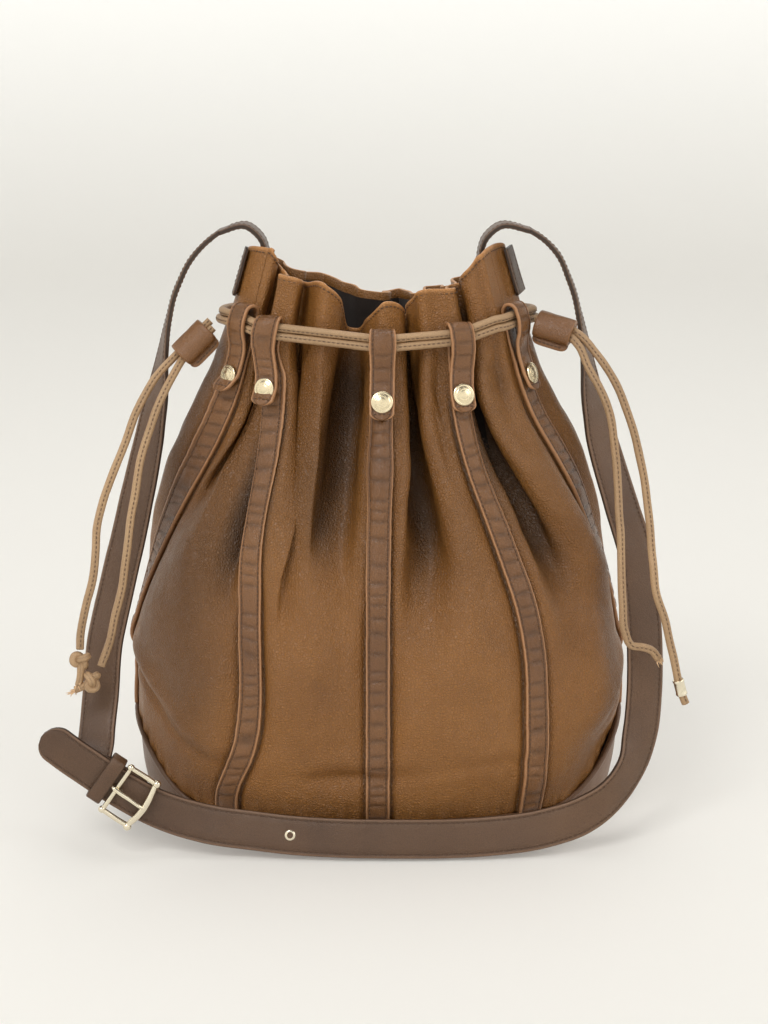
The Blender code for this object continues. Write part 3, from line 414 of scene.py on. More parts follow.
STRAP_RIGHT = (
    ((0.0870, 0.0, 0.3475), (0.3, 0, 1)), ((0.0950, 0.0, 0.3425), (0.5, 0, 0.9)),
    ((0.1030, 0.0, 0.3345), (0.8, -0.05, 0.6)), ((0.1105, 0.0, 0.3200), (1, -0.1, 0.3)),
    ((0.1170, -0.0010, 0.2990), (1, -0.15, 0.2)), ((0.1215, -0.0040, 0.2770), (1, -0.35, 0.1)),
    ((0.1250, -0.0100, 0.2540), (0.9, -0.7, 0.1)), ((0.1300, -0.0160, 0.2310), (0.7, -1, 0.1)),
    ((0.1400, -0.0260, 0.1970), (0.5, -1, 0.1)), ((0.1505, -0.0350, 0.1630), (0.4, -1, 0.1)),
    ((0.1535, -0.0410, 0.1400), (0.35, -1, 0.1)), ((0.1555, -0.0480, 0.1110), (0.3, -1, 0.1)),
    ((0.1550, -0.0560, 0.0840), (0.3, -1, 0.15)), ((0.1525, -0.0640, 0.0660), (0.3, -1, 0.1)),
    ((0.1460, -0.0740, 0.0475), (0.5, -1, -0.1)), ((0.1340, -0.0820, 0.0330), (0.5, -1, 0.0)),
    ((0.1165, -0.0870, 0.0225), (0.25, -1, 0.2)), ((0.0950, -0.0905, 0.0165), (0.1, -1, 0.3)),
    ((0.0600, -0.0935, 0.0128), (0.05, -1, 0.35)), ((0.0130, -0.0950, 0.0122), (0, -1, 0.35)),
    ((-0.0500, -0.0940, 0.0142), (0, -1, 0.35)), ((-0.0700, -0.0925, 0.0160), (-0.1, -1, 0.4)),
    ((-0.1000, -0.0905, 0.0200), (-0.2, -1, 0.4)), ((-0.1250, -0.0890, 0.0280), (-0.3, -1, 0.3)),
    ((-0.1450, -0.0880, 0.0390), (-0.3, -1, 0.3)), ((-0.1640, -0.0870, 0.0520), (-0.3, -1, 0.3)),
    ((-0.1800, -0.0860, 0.0640), (-0.3, -1, 0.3)), ((-0.1900, -0.0855, 0.0720), (-0.3, -1, 0.3)),
)
BUCKLE_PLACE = STRAP_RIGHT[24][0]
BUCKLE_ALONG = (-0.80, 0.04, 0.56)
BUCKLE_FACING = STRAP_RIGHT[24][1]


def buckle_matrix():
    """Origin on the long strap at the buckle: X towards its tip, Z out of its outer face."""
    along = Vector(BUCKLE_ALONG).normalized()
    out = Vector(BUCKLE_FACING)
    out = (out - along * out.dot(along)).normalized()
    turn = Matrix((along, out.cross(along), out)).transposed()
    return Matrix.Translation(BUCKLE_PLACE) @ turn.to_4x4()


# ---------------------------------------------------------------- noise and meshes

def noise(x, y, seed, wrap=None):
    """Smooth noise from -1 to 1, with one bump per unit; wrap is x's period in units."""
    table = np.random.default_rng(seed).uniform(-1, 1, (512, 512))
    x, y = np.broadcast_arrays(np.asarray(x, float), np.asarray(y, float))
    cell_x, cell_y = np.floor(x).astype(int), np.floor(y).astype(int)
    part_x, part_y = x - cell_x, y - cell_y
    part_x, part_y = part_x * part_x * (3 - 2 * part_x), part_y * part_y * (3 - 2 * part_y)
    period = wrap or 512
    x0, x1 = cell_x % period, (cell_x + 1) % period
    y0, y1 = cell_y % 512, (cell_y + 1) % 512
    low = table[x0, y0] * (1 - part_x) + table[x1, y0] * part_x
    high = table[x0, y1] * (1 - part_x) + table[x1, y1] * part_x
    return low * (1 - part_y) + high * part_y


def hoops(centre, first, second, size, count):
    """Rings round each centre in the plane of first and second; size is a radius for each ring or place."""
    turn = np.linspace(0, 2 * math.pi, count, endpoint=False)[None, :, None]
    size = np.reshape(size, (len(centre), -1, 1))
    return centre[:, None] + size * (first[:, None] * np.cos(turn) + second[:, None] * np.sin(turn))


def placed(points, matrix):
    """Points given in the matrix's frame, in the world's."""
    world = np.array(matrix)
    return points @ world[:3, :3].T + world[:3, 3]


def hill(distance, width):
    return np.exp(-(distance / width) ** 2)


def unit(vectors):
    return vectors / np.maximum(np.linalg.norm(vectors, axis=-1, keepdims=True), 1e-12)


class Shape:
    """Points and faces gathered for one piece. finish picks the material, tone goes to its attribute."""

    def __init__(self):
        self.points, self.faces, self.finish, self.tone, self.count = [], [], [], [], 0

    def add(self, points, faces, finish=0, tone=0.0):
        points = np.asarray(points, float).reshape(-1, 3)
        self.points.append(points)
        self.faces += [tuple(i + self.count for i in face) for face in faces]
        self.finish += [finish] * len(faces)
        self.tone.append(np.broadcast_to(np.asarray(tone, float).reshape(-1), (len(points),)))
        self.count += len(points)

    def sweep(self, rings, finish=0, tone=0.0, loop=False, caps=True):
        """A tube over rings[row][place], turned to face outwards; loop joins the last ring to the first."""
        rings = np.asarray(rings, float)
        rows, columns = rings.shape[:2]
        r = np.arange(rows if loop else rows - 1)[:, None]
        c = np.arange(columns)[None, :]
        r2, c2 = (r + 1) % rows, (c + 1) % columns
        quads = np.stack(
            [r * columns + c, r * columns + c2, r2 * columns + c2, r2 * columns + c], axis=-1
        )
        quads = quads.reshape(-1, 4)
        flat = rings.reshape(-1, 3)
        a, b, d, e = (flat[quads[:, k]] - flat.mean(axis=0) for k in range(4))
        first = np.einsum("ij,ij->i", a, np.cross(b, d)).sum()
        inside_out = first + np.einsum("ij,ij->i", a, np.cross(d, e)).sum() < 0
        ends = []
        if caps and not loop:
            ends = [list(range(columns))[::-1], [(rows - 1) * columns + k for k in range(columns)]]
        faces = quads[:, ::-1].tolist() if inside_out else quads.tolist()
        faces += [end[::-1] for end in ends] if inside_out else ends
        tone = np.broadcast_to(np.asarray(tone, float), (rows, columns))
        self.add(flat, faces, finish, tone)

    def stitches(
        self, line, normals, pitch=0.0027, size=0.0018, radius=0.00034, finish=1, sink=0.00012,
        start=0.0
    ):
        """A run of sewn stitches along line, lying on the surface with those normals."""
        reach = lengths(line)
        if reach[-1] < pitch * 2:
            return
        at = np.arange(start + pitch / 2, reach[-1] - pitch * 0.4, pitch)
        middle = straight_rows(at, reach, line)
        along = unit(
            straight_rows(at + size / 2, reach, line) - straight_rows(at - size / 2, reach, line)
        )
        up = straight_rows(at, reach, normals)
        up = unit(up - along * np.einsum("ij,ij->i", up, along)[:, None])
        side = np.cross(along, up)
        share = np.array([-0.5, -0.38, 0.0, 0.38, 0.5])
        thick = np.array([0.35, 0.85, 1.0, 0.85, 0.35])
        lift = np.array([-0.9, -0.1, 0.25, -0.1, -0.9]) * radius - sink
        turn = np.linspace(0, 2 * math.pi, 6, endpoint=False)
        side, along, up, middle = (v[:, None, None] for v in (side, along, up, middle))
        share, thick, lift = (v[:, None, None] for v in (share * size, thick * radius, lift + radius))
        ring = side * np.cos(turn)[:, None] + up * np.sin(turn)[:, None]
        points = middle + along * share + up * lift + ring * thick
        base = []
        for r in range(4):
            for c in range(6):
                d = (c + 1) % 6
                base.append((r * 6 + c, r * 6 + d, (r + 1) * 6 + d, (r + 1) * 6 + c))
        base += [tuple(range(5, -1, -1)), tuple(range(24, 30))]
        faces = [tuple(i + 30 * n for i in face) for n in range(len(at)) for face in base]
        self.add(points, faces, finish)

    def build(self, name, materials, slot, body=None, sharp=None):
        mesh = bpy.data.meshes.new(name)
        points = np.concatenate(self.points)
        mesh.from_pydata(points.tolist(), [], self.faces)
        for finish in materials:
            mesh.materials.append(finish)
        mesh.polygons.foreach_set("material_index", np.array(self.finish, np.int32))
        tone = mesh.attributes.new("tone", "FLOAT", "POINT")
        tone.data.foreach_set("value", np.concatenate(self.tone).astype(np.float32))
        mesh.shade_smooth()
        if sharp:
            mesh.set_sharp_from_angle(angle=math.radians(sharp))
        mesh.update()
        obj = bpy.data.objects.new(name, mesh)
        bpy.context.scene.collection.objects.link(obj)
        if body:
            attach(obj, body)
        return obj


# ---------------------------------------------------------------- materials

class Nodes:
    """Short names for building one material's nodes."""

    def __init__(self, name):
        self.made = bpy.data.materials.new(name)
        self.made.use_nodes = True
        self.tree = self.made.node_tree
        self.shader = self.tree.nodes["Principled BSDF"]

    def new(self, kind, **inputs):
        node = self.tree.nodes.new(kind)
        for key, value in inputs.items():
            self.put(node, key.replace("_", " "), value)
        return node

    def put(self, node, key, value):
        if isinstance(value, bpy.types.NodeSocket):
            self.tree.links.new(value, node.inputs[key])
        else:
            node.inputs[key].default_value = value

    def noise(self, where, scale, detail=3.0, rough=0.55):
        return self.new(
            "ShaderNodeTexNoise", Vector=where, Scale=scale, Detail=detail, Roughness=rough
        ).outputs["Fac"]

    def span(self, value, low, high, to_low=0.0, to_high=1.0):
        node = self.new("ShaderNodeMapRange", Value=value)
        for key, number in (
            ("From Min", low), ("From Max", high), ("To Min", to_low), ("To Max", to_high)
        ):
            node.inputs[key].default_value = number
        return node.outputs["Result"]

    def mix(self, factor, a, b):
        node = self.tree.nodes.new("ShaderNodeMix")
        node.data_type = "RGBA"
        for key, value in ((0, factor), (6, a), (7, b)):
            if isinstance(value, bpy.types.NodeSocket):
                self.tree.links.new(value, node.inputs[key])
            else:
                node.inputs[key].default_value = value if key == 0 else (*value, 1)
        return node.outputs[2]

    def tone(self):
        node = self.tree.nodes.new("ShaderNodeAttribute")
        node.attribute_name = "tone"
        return node.outputs["Fac"]

    def where(self):
        return self.tree.nodes.new("ShaderNodeTexCoord").outputs["Object"]


def leather(name, colour, light, dark, grain=640.0, depth=0.00034, rough=0.44, coat=0.16, wrinkle=0.55):
    """Dyed leather: pebbled grain, soft patches of colour, tone -1 to 1 from dark to pale: edges, painted
    shade and painted highlight.
    """
    n = Nodes(name)
    where = n.where()
    warped = n.new("ShaderNodeVectorMath")
    warped.operation = "MULTIPLY_ADD"
    bend = n.new("ShaderNodeTexNoise", Vector=where, Scale=grain * 0.30, Detail=2.0)
    n.tree.links.new(bend.outputs["Color"], warped.inputs[0])
    warped.inputs[1].default_value = (0.0012, 0.0012, 0.0012)
    n.tree.links.new(where, warped.inputs[2])
    cells = n.new("ShaderNodeTexVoronoi", Vector=warped.outputs[0], Scale=grain)
    cells.feature = "DISTANCE_TO_EDGE"
    pebble = n.span(cells.outputs["Distance"], 0.0, 0.32)
    patches = n.noise(where, 11.0, 4.0)
    streaks = n.noise(where, 55.0, 4.0, 0.6)
    body = n.mix(n.span(patches, 0.32, 0.68), dark, light)
    body = n.mix(n.span(streaks, 0.30, 0.72, 0.0, 0.55), body, colour)
    body = n.mix(n.span(pebble, 0.0, 0.5, 0.34, 0.0), body, tuple(c * 0.45 for c in dark))
    tone = n.tone()
    # Tone above 0 paints pale edges and painted highlight; tone below 0 paints dark edges and painted shade.
    body = n.mix(n.span(tone, 0.0, 1.0), body, tuple(min(1, c * 1.55 + 0.035) for c in light))
    body = n.mix(n.span(tone, 0.0, -1.0), body, tuple(c * 0.22 for c in dark))
    n.put(n.shader, "Base Color", body)
    n.put(
        n.shader, "Roughness", n.span(n.noise(where, 140.0, 3.0), 0.3, 0.7, rough - 0.07, rough + 0.08)
    )
    n.shader.inputs["Coat Weight"].default_value = coat
    n.shader.inputs["Coat Roughness"].default_value = 0.38
    n.shader.inputs["Specular IOR Level"].default_value = 0.42
    first = n.new("ShaderNodeBump", Height=pebble, Distance=depth, Strength=0.9)
    creased = n.noise(where, 170.0, 5.0, 0.65)
    second = n.new(
        "ShaderNodeBump", Height=creased, Distance=0.0011, Strength=wrinkle, Normal=first.outputs[0]
    )
    n.put(n.shader, "Normal", second.outputs[0])
    return n.made


def suede(name, colour):
    n = Nodes(name)
    where = n.where()
    body = n.mix(n.span(n.noise(where, 40.0, 4.0), 0.3, 0.7), tuple(c * 0.7 for c in colour), colour)
    n.put(n.shader, "Base Color", body)
    n.shader.inputs["Roughness"].default_value = 0.95
    n.shader.inputs["Specular IOR Level"].default_value = 0.15
    n.shader.inputs["Sheen Weight"].default_value = 0.12
    bump = n.new("ShaderNodeBump", Height=n.noise(where, 900.0, 2.0), Distance=0.0003, Strength=0.6)
    n.put(n.shader, "Normal", bump.outputs[0])
    return n.made


def thread(name, colour):
    n = Nodes(name)
    where = n.where()
    n.put(n.shader, "Base Color", n.mix(n.noise(where, 700.0), tuple(c * 0.72 for c in colour), colour))
    n.shader.inputs["Roughness"].default_value = 0.6
    return n.made


def metal(name, colour, rough):
    n = Nodes(name)
    where = n.where()
    n.put(n.shader, "Base Color", n.mix(n.noise(where, 160.0), tuple(c * 0.93 for c in colour), colour))
    n.put(
        n.shader, "Roughness", n.span(n.noise(where, 420.0, 3.0), 0.3, 0.7, rough - 0.05, rough + 0.07)
    )
    n.shader.inputs["Metallic"].default_value = 1.0
    bump = n.new("ShaderNodeBump", Height=n.noise(where, 260.0, 4.0), Distance=0.00008, Strength=0.5)
    n.put(n.shader, "Normal", bump.outputs[0])
    return n.made


BODY = leather(
    "body_leather", (0.276, 0.111, 0.021), (0.324, 0.137, 0.030), (0.204, 0.081, 0.016), depth=0.00042,
    rough=0.40, coat=0.14
)
STRIP = leather(
    "strip_leather", (0.200, 0.086, 0.026), (0.250, 0.112, 0.038), (0.130, 0.054, 0.019), grain=900,
    depth=0.00014, rough=0.32, wrinkle=0.45
)
BASE = leather(
    "base_leather", (0.165, 0.082, 0.040), (0.200, 0.104, 0.054), (0.120, 0.060, 0.030), grain=950,
    depth=0.00010, rough=0.42, wrinkle=0.35
)
STRAP = leather(
    "strap_leather", (0.108, 0.053, 0.024), (0.142, 0.073, 0.035), (0.070, 0.034, 0.017), grain=950,
    depth=0.00010, rough=0.46, wrinkle=0.35
)
CORD = leather(
    "cord_leather", (0.430, 0.270, 0.142), (0.510, 0.330, 0.182), (0.300, 0.182, 0.094), grain=1100,
    depth=0.00008, rough=0.55, coat=0.04, wrinkle=0.3
)
LINING = suede("lining_suede", (0.034, 0.025, 0.021))
THREAD = thread("strip_thread", (0.105, 0.052, 0.026))
PALE_THREAD = thread("pale_thread", (0.150, 0.085, 0.045))
SNAP = metal("snap_gold", (0.860, 0.735, 0.500), 0.24)
STUD = metal("stud_brass", (0.720, 0.580, 0.340), 0.34)
BUCKLE = metal("buckle_metal", (0.830, 0.750, 0.585), 0.20)


def board(name):
    n = Nodes(name)
    n.put(
        n.shader, "Base Color",
        n.mix(n.noise(n.where(), 300.0), (0.20, 0.165, 0.12), (0.34, 0.29, 0.22))
    )
    n.shader.inputs["Roughness"].default_value = 0.9
    return n.made


BOARD = board("base_board")


# ---------------------------------------------------------------- leather of the body

CREASES = (
    # (u at the mouth, u where it fades, height where it fades, depth, width in u)
    (0.42, 0.34, 0.190, 0.0035, 0.060), (0.78, 0.86, 0.125, 0.0095, 0.105),
    (1.25, 1.22, 0.235, 0.0016, 0.040), (1.71, 1.56, 0.148, 0.0085, 0.125),
    (1.48, 1.40, 0.200, 0.0018, 0.050), (2.43, 2.26, 0.112, 0.0085, 0.095),
    (2.62, 2.50, 0.140, 0.0050, 0.070), (2.88, 2.80, 0.200, 0.0020, 0.050),
    (3.33, 3.48, 0.120, 0.0105, 0.130), (3.72, 3.76, 0.180, 0.0032, 0.060),
    (4.45, 4.45, 0.140, 0.0080, 0.110), (4.78, 4.70, 0.190, 0.0030, 0.060),
    (5.30, 5.36, 0.130, 0.0085, 0.110), (5.72, 5.68, 0.160, 0.0050, 0.070),
    (6.37, 6.42, 0.120, 0.0095, 0.120), (6.70, 6.66, 0.190, 0.0030, 0.060),
    (7.25, 7.34, 0.140, 0.0085, 0.110), (7.62, 7.60, 0.170, 0.0045, 0.070),
)
DENTS = (
    # (u, z, width in u, height, depth): soft hollows and swells of the standing leather
    (0.45, 0.075, 0.16, 0.026, -0.0034), (0.62, 0.120, 0.20, 0.030, 0.0022),
    (1.45, 0.100, 0.24, 0.040, 0.0016), (1.70, 0.045, 0.20, 0.016, -0.0018),
    (2.50, 0.120, 0.26, 0.045, 0.0018), (3.45, 0.085, 0.20, 0.030, 0.0022),
    (3.60, 0.048, 0.22, 0.014, -0.0034), (3.30, 0.140, 0.12, 0.030, -0.0020),
    (2.75, 0.050, 0.20, 0.018, -0.0014), (4.55, 0.090, 0.22, 0.035, 0.0020),
    (5.40, 0.060, 0.24, 0.022, -0.0026), (6.50, 0.100, 0.26, 0.040, 0.0022),
    (7.45, 0.065, 0.22, 0.022, -0.0026),
)
SHADOWS = (
    # (u, z, width in u, height, depth of tone): painted shade where the folds keep the leather in shade; a
    # negative depth paints a highlight on the ear tops
    (0.55, 0.150, 0.30, 0.050, 0.50), (0.62, 0.090, 0.24, 0.040, 0.36),
    (1.45, 0.215, 0.25, 0.035, 0.26), (3.25, 0.245, 0.24, 0.045, 0.80),
    (3.30, 0.195, 0.14, 0.040, 0.30), (2.45, 0.200, 0.15, 0.040, 0.30),
    (4.75, 0.160, 0.28, 0.055, 0.35), (6.50, 0.170, 0.28, 0.055, 0.35),
    (7.45, 0.150, 0.28, 0.055, 0.38), (0.00, 0.325, 0.30, 0.022, -0.16),
    (3.97, 0.325, 0.30, 0.022, -0.16), (7.99, 0.325, 0.30, 0.022, -0.16),
)


def slump(u, z):
    """Slow sag of the standing leather, which the strips follow too."""
    rise = z - seam_height(u)
    free = smooth_step(0.004, 0.030, rise) * (1 - smooth_step(0.215, 0.262, z))
    slow = 0.0019 * noise(u * 1.5, z / 0.055 + 3, 11, 12) + 0.0009 * noise(u * 3, z / 0.028 + 7, 12, 24)
    fold_at = 0.031 + 0.007 * noise(u * 1.5, 0.5, 13, 12)
    fold = (0.0020 * hill(rise - fold_at - 0.011, 0.008) - 0.0024 * hill(rise - fold_at, 0.0045))
    depth = np.clip(0.55 + 0.9 * noise(u * 2 + 0.4, 4.5, 14, 16), 0.05, 1.2)
    beside_second = np.mod(u, STRIPS) - 0.93
    tucked = -0.0060 * hill(beside_second, 0.16) * hill(z - 0.195, 0.055)
    return free * slow + fold * depth * smooth_step(0.002, 0.014, rise) + tucked


def wrinkles(u, z):
    """Folds and puffs of the leather between the strips, which stitches hold down at each strip."""
    place = np.mod(u, STRIPS)
    beside = np.abs(place - np.round(place))
    pinned = smooth_step(0.068, 0.19, beside)
    rise = z - seam_height(u)
    puffed = smooth_step(0.0, 0.05, rise) * (1 - smooth_step(0.20, 0.27, z))
    total = 0.0034 * np.sin(math.pi * np.mod(u, 1)) ** 0.9 * puffed
    for top_u, low_u, low_z, depth, width in CREASES:
        share = (z - low_z) / (CREASE_TOP - low_z)
        t = np.clip(share, 0, 1)
        wander = 0.02 * noise(z / 0.03, top_u * 7, 21)
        away = np.mod(place - low_u - (top_u - low_u) * t - wander + 4, STRIPS) - 4
        wide = width * (1.75 - 0.75 * t)
        strength = smooth_step(-0.02, 0.30, share) * (1 - 0.70 * smooth_step(0.72, 1.02, share))
        lips = 0.42 * hill(np.abs(away) - 1.8 * wide, 0.8 * wide)
        total = total - CREASE_DEPTH * depth * strength * (hill(away, wide) - lips)
        total = total + 0.30 * depth * hill(share + 0.16, 0.13) * hill(away, 1.5 * wide)
    for at_u, at_z, wide, high, depth in DENTS:
        away = np.mod(place - at_u + 4, STRIPS) - 4
        total = total + depth * hill(away, wide) * hill(z - at_z, high)
    gather = smooth_step(0.13, 0.27, z)
    total = total + 0.0005 * noise(u * 7, z / 0.018, 22, 56)
    total = total + 0.00022 * noise(u * 16, z / 0.007, 23, 128)
    ridge = 1 - np.abs(noise(u * 9 + noise(u * 3, z / 0.03, 25, 24), z / 0.06, 24, 72)) * 2
    total = total + 0.0007 * gather * (1 - smooth_step(0.285, 0.31, z)) * ridge
    sewn = hill(rise, 0.011) * smooth_step(0.0, 0.002, rise)
    total = total + 0.00055 * sewn * np.sin(2 * math.pi * (u * 10 + 0.6 * noise(u * 4, 0, 26, 32)))
    pinch = -0.0012 * hill(beside - 0.090, 0.016) * (1 - smooth_step(0.24, 0.28, z))
    over_second = 0.0065 * hill(place - 1.155, 0.075) * hill(z - 0.190, 0.060)
    return total * pinned + pinch + over_second


def skin(u, z, out=0.0, held=0.0):
    """Outer face of the leather with its folds; held is 1 where only the slow sag applies."""
    away = out + slump(u, z) + wrinkles(u, z) * (1 - held)
    return body_point(u, z) + body_normal(u, z) * np.asarray(away)[..., None]


def wall(name, first_strip, columns, outer_rows):
    """Front or back leather: outer face, raw rim edge and inner face in one closed piece."""
    u = np.linspace(first_strip + 0.003, first_strip + 3.997, columns)[:, None]
    low = seam_height(u) + 0.0002
    rim = rim_height(u) + 0.0006 * noise(u * 8, 0, 31)
    up = np.concatenate([np.linspace(0, 0.93, outer_rows - 14), np.linspace(0.935, 1, 14)])
    z = low + (rim - low) * up[None, :]
    seam = -0.00035 * hill(rim - z - 0.0024, 0.0006)
    curl = 0.0009 * smooth_step(0.008, 0.0, rim - z) * noise(u * 6, 0, 32)
    outer = skin(u + 0 * z, z, seam + curl)
    down = z[:, ::-3]
    inner = skin(u + 0 * down, down, -LEATHER + curl[:, ::-3])
    near, far = np.array([[0.72], [0.28]]), np.array([[0.28], [0.72]])
    lip = outer[:, -1:] * near + inner[:, :1] * far
    lip[..., 2] += 0.00042
    rings = np.concatenate([outer, lip, inner], axis=1)
    beside = np.abs(np.mod(u, STRIPS) - np.round(np.mod(u, STRIPS)))
    # Painted shade in the tone: the crease valleys, the gathered neck and a thin line just outside each
    # strip are darkened.
    valley_shade = np.clip(-wrinkles(u + 0 * z, z) * 85, 0, 0.76) * smooth_step(0.115, 0.205, z)
    gathered = 0.24 * smooth_step(0.12, 0.20, z) * (1 - smooth_step(0.270, 0.295, z))
    strip_edge_shade = 0.75 * hill(beside - 0.084, 0.011) * (1 - smooth_step(0.245, 0.265, z))
    place = np.mod(u, STRIPS)
    # Painted shade from the SHADOWS table; its rows with negative depth paint the ear tops lighter, a
    # painted highlight.
    table_shade_and_highlight = 0.0
    for at_u, at_z, wide, high, dark in SHADOWS:
        table_shade_and_highlight = table_shade_and_highlight + dark * hill(place - at_u, wide) * hill(z - at_z, high)
    shade = np.clip(valley_shade + gathered + strip_edge_shade + table_shade_and_highlight, -0.2, 0.90)
    tone_outer = -shade + 0.9 * smooth_step(0.0019, 0.0006, rim - z)
    tone = np.concatenate(
        [tone_outer, np.full((columns, 2), 1.0), np.full((columns, down.shape[1]), -0.2)], axis=1
    )
    shape = Shape()
    shape.sweep(rings, tone=tone)
    line_z = rim[:, 0] - 0.0024
    line = skin(u[:, 0], line_z)
    shape.stitches(line, body_normal(u[:, 0], line_z), pitch=0.0029, size=0.0020)
    return shape


def lining():
    u = np.linspace(0, STRIPS, 420, endpoint=False)[:, None]
    low, top = 0.0075, rim_height(u) - 0.0045
    z = low + (top - low) * np.linspace(0, 1, 90)[None, :]
    place, normal = body_point(u, z), body_normal(u + 0 * z, z)
    away = wrinkles(u, z) * 0.8 + slump(u, z) - LEATHER
    outer = place + normal * (away - LINING_GAP)[..., None]
    inner = place + normal * (away - LINING_GAP - LINING_THICKNESS)[..., None]
    floor = body_point(u[:, 0], 0 * u[:, 0])
    shape = Shape()
    flat = [floor * (s, s, 0) + (0, 0, 0.0070) for s in (0.0, 0.4, 0.75, 0.86)]
    under = [floor * (s, s, 0) + (0, 0, 0.0062) for s in (0.87, 0.75, 0.4, 0.0)]
    inner_rows, outer_rows = list(inner.transpose(1, 0, 2)), list(outer.transpose(1, 0, 2))
    shape.sweep(np.array(inner_rows[::-1] + flat[::-1] + under[::-1] + outer_rows), caps=False)
    return shape


# ---------------------------------------------------------------- base and piping

def base_face(u, z, inward=0.0):
    corner = 0.0075
    drop = np.clip(1 - z / corner, 0, 1)
    pull = corner * (1 - np.sqrt(np.maximum(0, 1 - drop ** 2))) + inward
    soft = 0.0006 * noise(u * 3, z / 0.02, 41, 24) * smooth_step(0.002, 0.010, z)
    normal = body_normal(u, z)
    normal[..., 2] = 0
    return body_point(u, z) + unit(normal) * (soft - pull)[..., None]


def base():
    u = np.linspace(0, STRIPS, 560, endpoint=False)
    top = seam_height(u) - 0.0002
    groove = lambda z: 0.0003 * hill(top - z - 0.0032, 0.0006)
    rings = []
    for share in np.linspace(1, 0, 34):
        z = top * share ** 1.25
        rings.append(base_face(u, z, groove(z)))
    edge = base_face(u, 0 * u, 0 * u)
    for share in (0.97, 0.85, 0.6, 0.3, 0.0):
        rings.append(edge * (share, share, 0) + (0, 0, 0.0))
    inside = [edge * (share, share, 0) + (0, 0, 0.0020) for share in (0.0, 0.5, 0.90)]
    inside += [
        base_face(u, np.maximum(top * share, 0.0020), 0.0021 + 0 * u) for share in (0.25, 0.6, 1.0)
    ]
    rings = np.array(rings + inside)
    tone = np.zeros(rings.shape[:2])
    tone[:4] = -0.25
    shape = Shape()
    shape.sweep(rings, tone=tone, loop=True)
    z = top - 0.0032
    shape.stitches(base_face(u, z, 0 * u), body_normal(u, z), pitch=0.0030, size=0.0021)
    return shape


def piping():
    u = np.linspace(0, STRIPS, 700, endpoint=False)
    z = seam_height(u)
    out = body_normal(u, z)
    centre = body_point(u, z) + out * 0.0009
    along = unit(np.roll(centre, -1, axis=0) - np.roll(centre, 1, axis=0))
    up = np.cross(out, along)
    radius = PIPING_RADIUS * (1 + 0.06 * noise(u * 30, 0, 42, 240))
    shape = Shape()
    shape.sweep(hoops(centre, out, up, radius, 12), loop=True, tone=-0.12)
    return shape


# ---------------------------------------------------------------- strips and tabs

def strip_section(half, thick):
    """Loop of (across, height, pucker, tone) with pale cut edges, and the columns of its two seams."""
    left = [(-half, 0.0, 0.0, 0.15), (
        -half - 0.00008, thick * 0.35, 0.0, 0.75
    ), (-half - 0.00002, thick * 0.80, 0.0, 1.0),
            (-half + 0.00030, thick * 1.02, 0.0, 1.0), (
                -half + 0.00075, thick * 1.08, 0.0, 0.85
            ), (-half + 0.00110, thick * 1.06, 0.0, 0.05)]
    seam = half - STRIP_STITCH_INSET
    wide = half - 0.00145
    middle = [(x, thick - 0.00040 * hill(abs(x) - seam, 0.00035) + 0.00045 * max(
        0.0, 1 - (x / seam) ** 2
    ), max(0.0, 1 - (x / seam) ** 4),
               -0.50 if abs(abs(x) - seam) < 0.0001 else 0.0)
              for x in (-wide, -seam - 0.0003, -seam, -seam + 0.0004, -seam * 0.75, -seam * 0.4, 0.0,
                        seam * 0.4, seam * 0.75, seam - 0.0004, seam, seam + 0.0003, wide)]
    right = [(-x, h, p, t) for x, h, p, t in reversed(left)]
    bottom = [(x, 0.0, 0.0, -0.2) for x in (half * 0.5, 0.0, -half * 0.5)]
    return np.array(left + middle + right + bottom), (len(left) + 2, len(left) + 10)


def folded(strip, z, out, across, follow, low, high):
    """Grid of a ribbon at a strip: rows at heights z, places across (rows, columns), out from the body.
    Above high it takes the curve of the cords; below low it follows the body, or is flat."""
    normal = fold_normal(strip, z)[:, None]
    centre = body_point(strip, z)[:, None] + normal * out[..., None]
    place, facing = held_cord(strip, across)
    middle, outward = held_cord(strip, 0.0)
    rounded = centre + (place - middle) * (1, 1, 0) + (facing - outward) * (out - CORD_OUT)[..., None]
    if follow:
        u = strip + across / LEATHER_PER_U
        other = body_point(u, z[:, None]) + body_normal(u, z[:, None] + 0 * u) * out[..., None]
    else:
        other = centre + across[..., None] * fold_side(strip)
    share = smooth_step(low, high, z)[:, None, None]
    return other * (1 - share) + rounded * share


def puckers(reach, seed, pitch=0.0088):
    """Narrow transverse dips from 0 to 1 along a strip."""
    phase = reach / pitch + 0.55 * noise(reach / 0.012, seed, 51)
    return (0.5 + 0.5 * np.cos(2 * math.pi * phase)) ** 5


